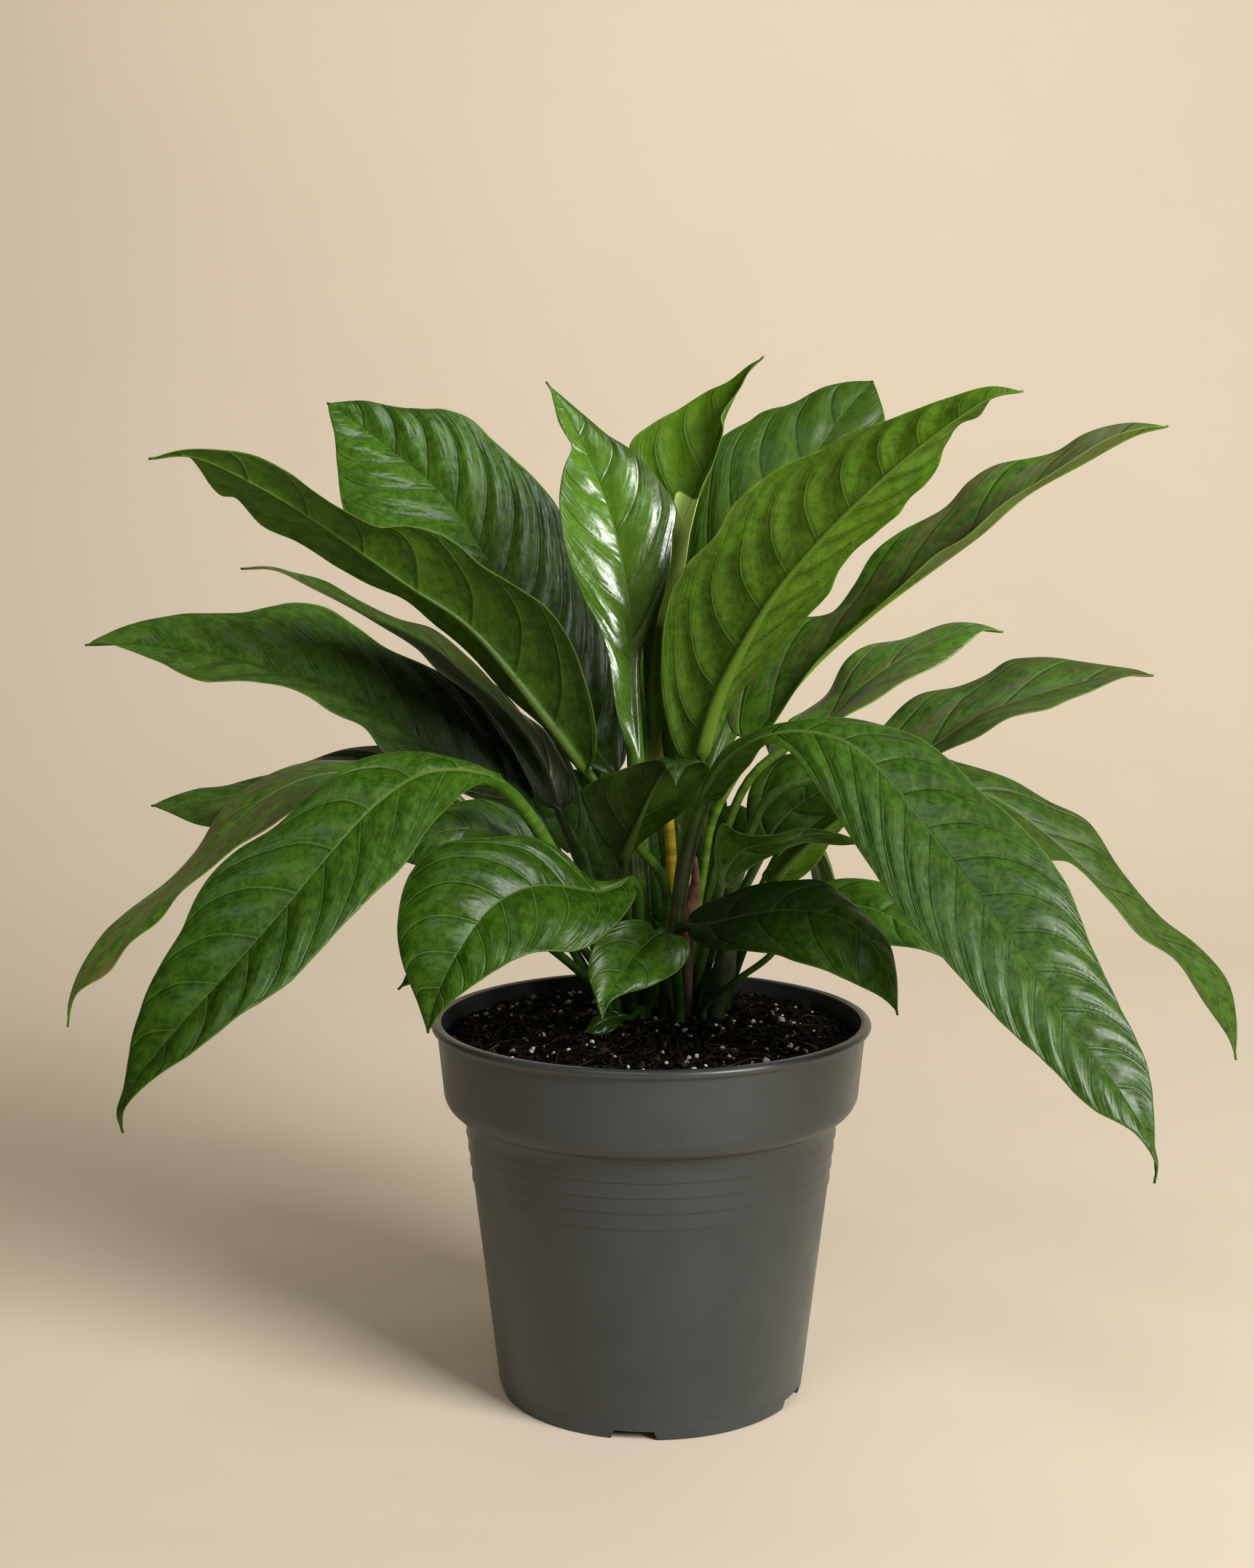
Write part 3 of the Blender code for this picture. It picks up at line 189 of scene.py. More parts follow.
# Each leaf: foot is about where its stalk stands in the mix, width its real width, stalk the stalk's radius, and
# under says that the eye sees its under face. rib runs from the blade's base to its tip as column, row and depth.
# left and right are the margins as column and row, on the left and right hand of someone who walks from base to
# tip. lean says how far each margin turns away from the eye, as a share of the half width. arch is how far a half
# blade bulges, and via holds the points that the stalk passes on its way up.
LEAVES = {
    "leaf_left_raised": dict(
        foot=(2, 10), width=62, stalk=2.2, under=True, lean=(0.85, -0.45), arch=0.06,
        via=((914, 1215, 6), (877, 1162, 2)),
        rib=((812, 1068, -2), (757, 995, -7), (646, 863, -18), (557, 802, -28), (450, 727, -42), (371, 677, -52),
             (261, 627, -62), (204, 631, -65)),
        left=((785, 1048), (746, 997), (700, 954), (650, 906), (593, 859), (552, 822), (503, 798), (450, 768),
              (403, 744), (357, 725), (323, 686), (303, 682), (254, 623)),
        right=((820, 1020), (808, 950), (785, 880), (753, 834), (700, 800), (664, 780), (625, 748), (593, 731),
               (557, 723), (521, 723), (471, 698), (428, 672), (400, 652), (353, 629), (307, 620), (250, 619)),
    ),
    "leaf_back_left_tall": dict(
        foot=(-6, 34), width=72, stalk=2.5, lean=(-0.35, 0.18), arch=0.05,
        rib=((850, 1080, 36), (808, 1010, 42), (762, 930, 52), (722, 850, 64), (679, 783, 76), (611, 684, 94),
             (521, 606, 112), (450, 554, 124)),
        left=((822, 1062), (770, 1000), (690, 930), (600, 850), (530, 780), (490, 730), (471, 697), (463, 638),
              (460, 599), (453, 570)),
        right=((864, 1020), (862, 940), (846, 870), (806, 800), (768, 700), (736, 659), (707, 631), (675, 602),
               (646, 575), (611, 563), (579, 563), (543, 560), (500, 551)),
    ),
    "leaf_centre_young": dict(
        foot=(-3, 22), width=62, stalk=3.8, lean=(-0.3, 0.05), arch=0.05,
        rib=((874, 1046, 4), (872, 1000, 6), (870, 950, 8), (869, 900, 11), (866, 849, 14), (862, 809, 17),
             (845, 727, 24), (818, 649, 32), (796, 602, 38), (771, 556, 45), (751, 525, 50)),
        left=((858, 1036), (849, 1000), (842, 950), (834, 893), (822, 856), (803, 822), (780, 770), (769, 699),
              (775, 645), (786, 613), (777, 597), (768, 581), (757, 538)),
        right=((888, 1030), (886, 1000), (885, 960), (884, 905), (892, 865), (906, 822), (921, 785), (925, 740),
               (930, 697), (914, 670), (879, 627), (836, 599), (807, 574), (771, 543)),
    ),
    "leaf_centre_back_folded": dict(
        foot=(9, 26), width=60, stalk=2.4, under=True, lean=(0.3, -0.5), arch=0.04,
        via=((922, 1160, 18),),
        rib=((903, 1024, 26), (899, 970, 28), (901, 910, 29), (909, 850, 31), (922, 800, 34), (938, 730, 38),
             (962, 665, 42), (985, 610, 44), (1000, 565, 44), (1024, 518, 40), (1050, 490, 36)),
        left=((894, 1012), (887, 970), (884, 910), (890, 850), (905, 800), (905, 740), (880, 670), (866, 613),
              (896, 584), (932, 563), (971, 538), (1000, 525), (1030, 502)),
        right=((910, 1012), (911, 970), (914, 910), (922, 850), (935, 800), (948, 745), (966, 670), (978, 640),
               (989, 606), (993, 588), (990, 574), (1004, 552), (1018, 534), (1032, 508)),
    ),
    "leaf_back_right_tall": dict(
        foot=(16, 36), width=72, stalk=2.5, lean=(0.55, -0.3), arch=0.05,
        rib=((926, 1070, 40), (945, 1000, 46), (972, 930, 54), (1008, 850, 66), (1050, 750, 82), (1092, 670, 96),
             (1129, 613, 106), (1164, 563, 115), (1200, 524, 121)),
        left=((906, 1040), (898, 970), (908, 890), (930, 810), (944, 740), (962, 670), (986, 609), (1029, 581),
              (1046, 568), (1093, 552), (1125, 534), (1164, 525)),
        right=((956, 1052), (1000, 960), (1060, 870), (1130, 770), (1180, 690), (1208, 620), (1217, 579),
               (1207, 541)),
    ),
    "leaf_right_raised": dict(
        foot=(11, 16), width=72, stalk=2.9, under=True, lean=(0.3, 0.85), arch=0.06,
        rib=((960, 1052, -6), (986, 963, -11), (1020, 892, -17), (1065, 818, -25), (1122, 749, -35),
             (1204, 667, -48), (1286, 598, -60), (1367, 545, -70), (1407, 538, -72)),
        left=((935, 1040), (911, 963), (909, 881), (921, 816), (946, 774), (986, 734), (1007, 695), (1067, 645),
              (1131, 616), (1155, 600), (1220, 578), (1298, 549), (1363, 531)),
        right=((985, 1020), (1018, 950), (1060, 900), (1094, 863), (1139, 822), (1163, 773), (1200, 733),
               (1231, 706), (1249, 684), (1286, 651), (1302, 614), (1322, 584), (1347, 573), (1365, 546)),
    ),
    "leaf_right_narrow": dict(
        foot=(17, 13), width=40, stalk=2.0, lean=(0.7, -0.7), arch=0.03,
        via=((967, 1195, 13), (977, 1135, 13), (998, 1088, 12)),
        rib=((1040, 1020, 9), (1068, 972, 9), (1110, 920, 7), (1190, 850, 0), (1288, 778, -9), (1347, 735, -15),
             (1410, 681, -20), (1490, 636, -26), (1563, 597, -29), (1606, 586, -30)),
        left=((1006, 1006), (1002, 955), (1030, 895), (1086, 852), (1139, 843), (1171, 806), (1200, 761),
              (1237, 733), (1300, 699), (1333, 661), (1367, 639), (1449, 621), (1492, 596), (1551, 582)),
        right=((1054, 1008), (1093, 952), (1130, 905), (1180, 857), (1237, 806), (1286, 765), (1327, 742),
               (1380, 692), (1453, 645), (1527, 602), (1580, 587)),
    ),
    "leaf_right_small": dict(
        foot=(20, 27), width=42, stalk=2.0, lean=(0.7, -0.7), arch=0.05,
        via=((1010, 1110, 18), (1040, 1060, 15)),
        rib=((1098, 1016, 14), (1143, 986, 18), (1184, 945, 22), (1215, 922, 25), (1245, 902, 28), (1286, 882, 31),
             (1326, 866, 33), (1379, 869, 35)),
        left=((1082, 996), (1106, 978), (1135, 953), (1161, 912), (1192, 890), (1245, 876), (1306, 858),
              (1351, 859)),
        right=((1130, 1006), (1180, 976), (1229, 945), (1265, 929), (1294, 912), (1335, 880), (1355, 866)),
    ),
    "leaf_right_level": dict(
        foot=(27, 27), width=48, stalk=2.0, lean=(0.65, -0.8), arch=0.05,
        via=((1030, 1146, 13), (1065, 1090, 10)),
        rib=((1212, 1056, 4), (1282, 1026, 0), (1322, 1000, -3), (1355, 980, -5), (1408, 961, -8),
             (1469, 943, -10), (1531, 929, -12), (1586, 929, -14)),
        left=((1205, 1015), (1229, 980), (1261, 957), (1318, 945), (1355, 927), (1384, 907), (1420, 904),
              (1490, 911), (1560, 920)),
        right=((1262, 1052), (1302, 1035), (1335, 1018), (1380, 988), (1441, 978), (1478, 959), (1547, 931)),
    ),
    "leaf_right_drooping": dict(
        foot=(6, -4), width=66, stalk=3.3, lean=(0.5, -0.45), arch=0.07,
        via=((944, 1180, -11),),
        rib=((966, 1108, -12), (984, 1066, -20), (1010, 1035, -29), (1046, 1014, -39), (1098, 1005, -49),
             (1163, 1020, -62), (1220, 1069, -76), (1283, 1150, -93), (1344, 1228, -108), (1409, 1321, -123),
             (1474, 1416, -135), (1552, 1520, -146), (1591, 1594, -151), (1587, 1627, -152)),
        left=((962, 1080), (978, 1052), (1001, 1026), (1030, 1012), (1082, 996), (1122, 988), (1171, 986),
              (1245, 1004), (1294, 1035), (1344, 1087), (1409, 1143), (1465, 1212), (1500, 1295), (1539, 1382),
              (1576, 1468), (1586, 1551)),
        right=((988, 1106), (1006, 1080), (1032, 1050), (1056, 1022), (1082, 1032), (1102, 1055), (1146, 1115),
               (1200, 1195), (1248, 1265), (1309, 1334), (1374, 1403), (1443, 1464), (1500, 1523), (1560, 1559),
               (1589, 1603)),
    ),
    "leaf_far_right_drooping": dict(
        foot=(34, 22), width=44, stalk=2.0, lean=(0.6, -0.7), arch=0.05,
        rib=((1236, 1050, -20), (1318, 1078, -22), (1378, 1104, -22), (1443, 1152, -23), (1500, 1203, -24),
             (1545, 1243, -24), (1590, 1285, -24), (1640, 1325, -23), (1672, 1365, -22), (1692, 1410, -20),
             (1699, 1457, -18)),
        left=((1250, 1030), (1318, 1050), (1391, 1072), (1443, 1100), (1495, 1128), (1534, 1191), (1591, 1256),
              (1647, 1299), (1686, 1347), (1699, 1403)),
        right=((1290, 1110), (1360, 1150), (1430, 1182), (1474, 1186), (1526, 1236), (1565, 1288), (1617, 1323),
               (1656, 1377), (1690, 1429)),
    ),
    "leaf_front_right_low": dict(
        foot=(15, -9), width=58, stalk=2.4, lean=(0.55, -0.35), arch=0.08,
        rib=((936, 1274, -26), (985, 1268, -38), (1030, 1258, -48), (1080, 1252, -58), (1130, 1256, -68),
             (1170, 1270, -76), (1200, 1300, -84), (1222, 1345, -90), (1234, 1396, -94)),
        left=((950, 1256), (986, 1237), (1036, 1215), (1095, 1212), (1134, 1215), (1172, 1240), (1207, 1274),
              (1222, 1298), (1232, 1345)),
        right=((948, 1289), (986, 1308), (1036, 1308), (1066, 1311), (1095, 1323), (1154, 1343), (1210, 1370),
               (1228, 1386)),
    ),
    "leaf_right_low_behind": dict(
        foot=(28, -7), width=42, stalk=1.4, lean=(0.4, -0.3), arch=0.06,
        via=((1010, 1350, -10), (1064, 1308, -13)),
        rib=((1090, 1250, -14), (1150, 1243, -20), (1200, 1250, -26), (1250, 1275, -32), (1300, 1312, -37),
             (1334, 1334, -40)),
        left=((1105, 1228), (1140, 1212), (1205, 1210), (1250, 1232), (1300, 1280)),
        right=((1110, 1272), (1160, 1290), (1222, 1299), (1257, 1304), (1300, 1318)),
    ),
    "leaf_front_small": dict(
        foot=(-4, -5), width=40, stalk=2.0, lean=(0.1, -0.1), arch=0.07,
        rib=((908, 1282, -34), (893, 1293, -40), (871, 1315, -50), (848, 1349, -62), (834, 1374, -68),
             (827, 1403, -73)),
        left=((936, 1288), (948, 1307), (932, 1334), (899, 1355), (857, 1367), (840, 1378)),
        right=((885, 1266), (851, 1268), (818, 1296), (809, 1330), (819, 1374)),
    ),
    "leaf_front_left_broad": dict(
        foot=(-11, 4), width=68, stalk=2.8, lean=(-0.3, 0.3), arch=0.07,
        rib=((868, 1212, -30), (823, 1226, -40), (773, 1219, -50), (728, 1220, -59), (677, 1247, -69),
             (635, 1301, -79), (601, 1369, -86), (588, 1421, -89)),
        left=((876, 1222), (864, 1251), (834, 1284), (801, 1304), (739, 1310), (694, 1328), (649, 1355),
              (610, 1388)),
        right=((850, 1205), (812, 1212), (778, 1172), (733, 1151), (672, 1154), (604, 1161), (562, 1203),
               (547, 1268), (552, 1318), (576, 1385)),
    ),
    "leaf_left_drooping": dict(
        foot=(-20, 6), width=68, stalk=3.0, lean=(-0.5, 0.5), arch=0.06,
        via=((752, 1160, -20),),
        rib=((690, 1082, -36), (668, 1066, -43), (631, 1058, -52), (578, 1065, -64), (517, 1106, -78),
             (460, 1167, -93), (395, 1245, -108), (313, 1339, -124), (236, 1424, -136), (174, 1506, -144),
             (164, 1535, -146), (169, 1558, -147)),
        left=((676, 1084), (652, 1082), (613, 1113), (587, 1141), (558, 1186), (513, 1233), (452, 1294),
              (391, 1353), (333, 1394), (272, 1445), (203, 1490), (170, 1527)),
        right=((698, 1068), (680, 1062), (631, 1043), (570, 1032), (501, 1045), (436, 1086), (378, 1135),
               (325, 1167), (280, 1216), (248, 1286), (211, 1347), (182, 1420), (168, 1502), (160, 1532)),
    ),
    "leaf_far_left_drooping": dict(
        foot=(-26, 12), width=44, stalk=2.2, lean=(-0.7, 0.6), arch=0.05,
        rib=((600, 1076, -12), (520, 1066, -15), (450, 1064, -17), (400, 1078, -19), (350, 1108, -21),
             (315, 1142, -23), (280, 1182, -25), (235, 1227, -27), (190, 1262, -29), (150, 1300, -31),
             (115, 1340, -33), (98, 1375, -34), (93, 1412, -34)),
        left=((560, 1090), (480, 1090), (421, 1108), (370, 1140), (326, 1162), (289, 1192), (249, 1228),
              (221, 1267), (178, 1299), (148, 1337), (105, 1367)),
        right=((560, 1058), (480, 1044), (420, 1048), (364, 1071), (303, 1117), (271, 1164), (231, 1210),
               (174, 1256), (139, 1289), (105, 1343), (93, 1388)),
    ),
    "leaf_left_small": dict(
        foot=(-22, 26), width=42, stalk=2.0, lean=(-0.6, 0.6), arch=0.05,
        rib=((580, 1062, 34), (480, 1062, 38), (400, 1076, 41), (330, 1092, 43), (270, 1102, 44), (208, 1108, 45)),
        left=((520, 1082), (430, 1104), (350, 1134), (283, 1137), (228, 1115)),
        right=((560, 1030), (514, 1026), (417, 1047), (364, 1067), (310, 1081), (271, 1084), (239, 1094)),
    ),
    "leaf_left_broad": dict(
        foot=(-21, 19), width=64, stalk=2.5, lean=(-0.7, 0.55), arch=0.06,
        rib=((738, 1124, 6), (705, 1090, 11), (660, 1062, 16), (610, 1037, 20), (560, 1004, 24), (506, 974, 28),
             (453, 947, 31), (399, 928, 33), (310, 903, 36), (250, 893, 38), (180, 886, 39), (117, 887, 40)),
        left=((712, 1128), (650, 1095), (570, 1065), (528, 1039), (499, 999), (453, 974), (417, 951), (356, 940),
              (274, 937), (221, 910), (174, 892), (140, 883)),
        right=((732, 1085), (716, 1040), (690, 1000), (650, 955), (603, 925), (535, 894), (489, 860), (446, 833),
               (403, 828), (331, 844), (249, 845), (178, 858), (137, 876)),
    ),
    "leaf_left_narrow": dict(
        foot=(-13, 27), width=44, stalk=2.1, lean=(-0.6, 0.7), arch=0.04,
        rib=((770, 1120, 16), (752, 1060, 17), (720, 1005, 18), (680, 960, 19), (635, 922, 19), (600, 892, 18),
             (560, 870, 17), (510, 848, 15), (470, 824, 13), (425, 802, 11), (375, 782, 9), (331, 782, 8)),
        left=((744, 1105), (722, 1062), (700, 1020), (657, 966), (604, 924), (575, 891), (521, 859), (475, 834),
              (429, 809), (379, 784)),
        right=((790, 1090), (772, 1040), (750, 1002), (714, 978), (680, 945), (643, 906), (596, 863), (550, 850),
               (493, 827), (446, 800), (396, 786), (354, 779)),
    ),
    "leaf_front_centre": dict(
        foot=(-6, 8), width=62, stalk=2.6, under=True, lean=(0.2, 0.3), arch=0.05,
        rib=((855, 1205, -14), (862, 1170, -19), (878, 1130, -25), (898, 1085, -31), (916, 1056, -36),
             (926, 1046, -41), (929, 1056, -47), (928, 1081, -52)),
        left=((843, 1175), (823, 1144), (801, 1108), (797, 1090), (823, 1070), (863, 1055), (895, 1047),
              (910, 1048), (920, 1066)),
        right=((872, 1168), (904, 1143), (939, 1112), (966, 1080), (978, 1062), (970, 1050), (955, 1048),
               (944, 1054), (934, 1070)),
    ),
    "leaf_right_inner": dict(
        foot=(26, 34), width=56, stalk=2.1, lean=(0.2, -0.2), arch=0.06,
        rib=((1046, 1176, 27), (1064, 1142, 25), (1096, 1108, 23), (1134, 1084, 20), (1170, 1068, 17),
             (1205, 1060, 14)),
        left=((1030, 1150), (1030, 1090), (1056, 1048), (1100, 1034), (1150, 1034), (1185, 1042)),
        right=((1070, 1170), (1096, 1154), (1130, 1138), (1160, 1118), (1190, 1090)),
    ),
    "leaf_right_folded": dict(
        foot=(22, 6), width=48, stalk=2.2, lean=(-0.3, 0.4), arch=0.05,
        rib=((988, 1226, -14), (1002, 1190, -18), (1028, 1165, -24), (1072, 1158, -30), (1120, 1146, -34),
             (1165, 1152, -37), (1190, 1160, -38)),
        left=((983, 1195), (984, 1156), (994, 1133), (1013, 1142), (1066, 1148), (1100, 1140), (1145, 1143)),
        right=((1004, 1222), (1022, 1204), (1046, 1182), (1072, 1171), (1110, 1158), (1160, 1162)),
    ),
    "leaf_right_pale": dict(
        foot=(39, 12), width=42, stalk=2.2, under=True, lean=(0.3, 0.3), arch=0.05,
        rib=((1056, 1222, -2), (1072, 1203, -6), (1092, 1180, -10), (1118, 1155, -15), (1150, 1128, -20),
             (1178, 1110, -24)),
        left=((1048, 1205), (1058, 1190), (1080, 1168), (1105, 1146), (1142, 1118)),
        right=((1078, 1214), (1101, 1209), (1125, 1183), (1147, 1152), (1166, 1128)),
    ),
    "leaf_left_inner": dict(
        foot=(-17, 20), width=52, stalk=2.1, lean=(-0.3, 0.3), arch=0.06,
        rib=((748, 1176, -8), (700, 1156, -13), (640, 1140, -18), (590, 1150, -22), (556, 1185, -25)),
        left=((728, 1200), (680, 1205), (620, 1200), (580, 1192)),
        right=((738, 1136), (690, 1106), (650, 1100), (606, 1112), (575, 1145)),
    ),
    "leaf_left_low": dict(
        foot=(-24, 0), width=30, stalk=1.9, lean=(-0.2, 0.2), arch=0.05,
        rib=((690, 1262, -34), (650, 1270, -40), (612, 1296, -47), (578, 1330, -52), (547, 1361, -55)),
        left=((670, 1280), (632, 1300), (594, 1330), (566, 1352)),
        right=((664, 1250), (620, 1262), (588, 1296), (560, 1338)),
    ),
    "leaf_soil_small": dict(
        foot=(-6, -10), width=22, stalk=1.5, lean=(-0.3, 0.3), arch=0.06,
        rib=((866, 1400, -14), (852, 1398, -17), (836, 1402, -21), (820, 1410, -24), (803, 1420, -27)),
        left=((852, 1410), (840, 1419), (822, 1423)),
        right=((856, 1390), (832, 1391), (814, 1402)),
    ),
    "leaf_crown_back_left": dict(
        foot=(-13, 40), width=50, stalk=2.2, lean=(0.1, -0.1), arch=0.06,
        rib=((866, 1300, 40), (844, 1230, 43), (820, 1160, 46), (800, 1100, 50), (790, 1058, 54)),
        left=((842, 1290), (804, 1230), (782, 1150), (780, 1085)),
        right=((880, 1260), (868, 1180), (848, 1110), (818, 1066)),
    ),
    "leaf_crown_back_centre": dict(
        foot=(6, 50), width=52, stalk=2.2, lean=(0.1, -0.1), arch=0.06,
        rib=((918, 1300, 54), (914, 1240, 56), (908, 1190, 59), (902, 1130, 62), (898, 1090, 65)),
        left=((894, 1280), (878, 1220), (872, 1160), (880, 1110)),
        right=((942, 1280), (948, 1210), (940, 1150), (918, 1106)),
    ),
    "leaf_crown_back_right": dict(
        foot=(20, 46), width=52, stalk=2.2, lean=(0.1, -0.1), arch=0.06,
        rib=((962, 1300, 47), (978, 1240, 49), (994, 1190, 52), (1006, 1140, 55), (1012, 1104, 58)),
        left=((940, 1290), (948, 1220), (966, 1160), (992, 1114)),
        right=((990, 1290), (1018, 1220), (1034, 1160), (1032, 1116)),
    ),
}

# The leaves behind, which the eye does not reach: each is the form of another leaf, turned about the crown by some
# degrees. reach draws it in, and lift and rise set how high it stands.
TURNED = {
    "leaf_back_1": dict(like="leaf_left_drooping", turn=-92, reach=0.58, lift=0.9, rise=20, foot=(-16, 54)),
    "leaf_back_2": dict(like="leaf_left_broad", turn=-26, reach=0.62, lift=0.8, rise=0, foot=(-26, 36)),
    "leaf_back_3": dict(like="leaf_right_drooping", turn=98, reach=0.6, lift=0.88, rise=16, foot=(27, 40)),
    "leaf_back_4": dict(like="leaf_right_level", turn=42, reach=0.74, lift=0.7, rise=0, foot=(38, 42)),
    "leaf_back_5": dict(like="leaf_left_raised", turn=-110, reach=0.6, lift=0.86, rise=0, foot=(-2, 54)),
    "leaf_back_6": dict(like="leaf_front_left_broad", turn=-140, reach=0.9, lift=1.0, rise=0, foot=(-6, 64)),
    "leaf_back_7": dict(like="leaf_far_right_drooping", turn=88, reach=0.52, lift=0.9, rise=0, foot=(18, 60)),
}

# Bare sheaths in the crown: each stands at a foot and passes some points in the sight, with its radii from the
# foot to its end.
SHEATHS = {
    "sheath_right": dict(foot=(31, 5), slot="sheath_green", radii=(4.6, 5.6, 4.0, 1.0),
                         points=((998, 1320, 3), (1006, 1262, -1))),
    "sheath_brown": dict(foot=(20, 1), slot="sheath_brown", radii=(2.4, 3.0, 3.6, 0.8),
                         points=((945, 1262, 0), (955, 1224, -1), (956, 1178, 0))),
}
SHEATH_RINGS = 26
SHEATH_SIDES = 28
SHEATH_FURROWS = 7
SHEATH_FURROW = 0.12

# What sets a leaf's face apart. young lightens its green, pale lightens its side veins, and streak lays brown
# bands along it. shade is mostly painted light and shade: it darkens or lights the green, at its base and at its
# tip, for the shadow that the leaf lies in and the light that it catches, and a little for its own tone. gloss
# polishes it, at its base and at its tip. fold is how far out from the rib, to the right, its blade is painted
# as a turned-over margin, pale and brightly lit. painted_side_shade says how far out, on the same side, painted
# shade starts to darken it and by how much. quilt is how high it swells between the side veins, in millimetres.
# apart is the room between side veins as a share of the usual room, and sweep and bow are how far they run on
# towards the tip, evenly and near the margin. stalk is the tone of its stalk, from brown at 0 over green at 0.5
# and lime at 0.75 to yellow at 1. A leaf has the usual look wherever its own row says nothing.
USUAL_LOOK = dict(young=0.0, pale=0.0, streak=0.0, shade=(1.0, 1.0), gloss=(0.0, 0.0), fold=2.0, painted_side_shade=(2.0, 0.0),
                  quilt=1.5, apart=1.0, sweep=0.7, bow=0.8, stalk=0.5)
LOOKS = {
    "leaf_left_raised": dict(quilt=1.3, sweep=0.8, bow=0.9, shade=(0.6, 1.0), apart=1.15, stalk=0.6),
    "leaf_centre_young": dict(young=0.5, quilt=1.7, sweep=0.9, shade=(0.6, 1.15), gloss=(1.7, 1.5), stalk=0.7,
                              pale=0.3, painted_side_shade=(0.55, 0.5)),
    "leaf_centre_back_folded": dict(young=0.3, shade=(0.8, 1.35), fold=-0.35, stalk=1.0),
    "leaf_back_left_tall": dict(quilt=2.3, sweep=0.8, bow=0.7, apart=0.9, shade=(0.9, 1.5), gloss=(0.4, 1.2),
                                painted_side_shade=(0.6, 0.3)),
    "leaf_back_right_tall": dict(quilt=2.4, young=0.35, bow=1.0, apart=1.2, shade=(0.55, 0.62)),
    "leaf_right_raised": dict(young=0.05, quilt=2.1, sweep=0.6, bow=1.1, apart=0.8, shade=(1.15, 1.75), stalk=0.6,
                              streak=0.2, pale=0.2),
    "leaf_right_narrow": dict(streak=0.7, sweep=2.2, apart=1.5, quilt=0.9, shade=(1.45, 1.65), stalk=0.72),
    "leaf_right_small": dict(streak=0.65, sweep=2.2, apart=1.5, quilt=0.8, shade=(1.5, 1.6), stalk=0.6),
    "leaf_right_level": dict(streak=0.7, sweep=2.0, apart=1.5, quilt=0.9, shade=(1.15, 1.2), pale=0.6, stalk=0.52),
    "leaf_far_right_drooping": dict(streak=0.4, sweep=1.8, apart=1.4, quilt=0.6, shade=(0.85, 0.95)),
    "leaf_right_drooping": dict(quilt=1.7, sweep=0.75, bow=0.7, apart=0.72, shade=(1.0, 0.78), gloss=(0.2, 0.2),
                                stalk=0.2, pale=0.2),
    "leaf_front_right_low": dict(shade=(0.18, 0.75), quilt=1.1, sweep=0.8, pale=0.4),
    "leaf_front_left_broad": dict(quilt=1.6, apart=0.62, sweep=0.5, bow=0.6, shade=(0.58, 0.72), gloss=(0.9, 0.9),
                                  pale=0.9),
    "leaf_front_small": dict(apart=0.7, quilt=0.9, shade=(0.32, 0.58), gloss=(1.0, 1.0), pale=0.6),
    "leaf_front_centre": dict(shade=(0.3, 0.4), stalk=0.35, pale=0.3),
    "leaf_left_drooping": dict(quilt=1.9, apart=0.95, shade=(0.8, 0.66), gloss=(0.6, 0.6), stalk=0.58, pale=0.5),
    "leaf_far_left_drooping": dict(streak=0.9, sweep=2.2, apart=1.4, quilt=0.8, shade=(1.0, 2.7), pale=0.3),
    "leaf_left_small": dict(streak=0.4, sweep=1.6, shade=(0.9, 0.9)),
    "leaf_left_narrow": dict(streak=0.9, sweep=2.0, apart=1.4, quilt=0.8, shade=(0.15, 0.95)),
    "leaf_left_broad": dict(streak=0.25, sweep=1.0, shade=(0.15, 1.2)),
    "leaf_left_inner": dict(shade=(0.5, 0.7)),
    "leaf_right_inner": dict(shade=(0.6, 0.8)),
    "leaf_right_pale": dict(young=0.4),
    "leaf_soil_small": dict(shade=(0.2, 0.35), gloss=(1.0, 1.0), apart=0.6, pale=0.5),
}
GLOSSY = ("leaf_centre_young", "leaf_back_left_tall")
MATT = (
    "leaf_back_right_tall", "leaf_front_right_low", "leaf_front_left_broad", "leaf_front_small", "leaf_left_broad",
    "leaf_left_drooping", "leaf_left_narrow", "leaf_left_inner", "leaf_left_low", "leaf_left_small",
    "leaf_far_right_drooping", "leaf_soil_small",
)
SLOT_OF = {"leaf_centre_young": "leaf_young"}

# The colours of a leaf's two faces. The green drifts from deep to mid.
UPPER_COLOURS = dict(deep=(0.020, 0.066, 0.003), mid=(0.053, 0.140, 0.006), vein=(0.14, 0.25, 0.05),
                     rib=(0.15, 0.26, 0.045), young=(0.12, 0.27, 0.014), edge=(0.14, 0.23, 0.04))
UNDER_COLOURS = dict(deep=(0.024, 0.070, 0.003), mid=(0.058, 0.132, 0.006), vein=(0.10, 0.18, 0.02),
                     rib=(0.115, 0.205, 0.020), young=(0.115, 0.225, 0.008), edge=(0.13, 0.21, 0.03))
BAND_BROWN = (0.072, 0.062, 0.024)
VEIN_SHADOW = (0.006, 0.022, 0.001)
# The pale green of a turned-over margin, painted much brighter than its own colour so that it looks strongly lit.
FOLD_PALE_AND_LIGHT = (0.68, 0.95, 0.25)
STALK_TONES = {0.0: (0.030, 0.018, 0.010), 0.5: (0.034, 0.088, 0.009), 0.75: (0.16, 0.34, 0.02),
               1.0: (0.50, 0.35, 0.025)}
STALK_MOTTLE = (0.010, 0.018, 0.004)

# What else differs between the faces: where the rib's colour starts and stops to fade, in rib radii, how dark the
# shadow beside a vein is, how plain a vein's line is, how high the mottling stands, and whether veins stand out.
UPPER_FACE = dict(rib_from=0.22, rib_to=0.55, shadow=0.42, line=0.12, mottle=0.22, proud=-1.0)
UNDER_FACE = dict(rib_from=0.85, rib_to=1.3, shadow=0.5, line=0.35, mottle=0.45, proud=1.0)

# How strongly each leaf paint mirrors.
LEAF_PAINTS = {"leaf_upper": 0.4, "leaf_glossy": 0.75, "leaf_matt": 0.2, "leaf_under": 0.14}

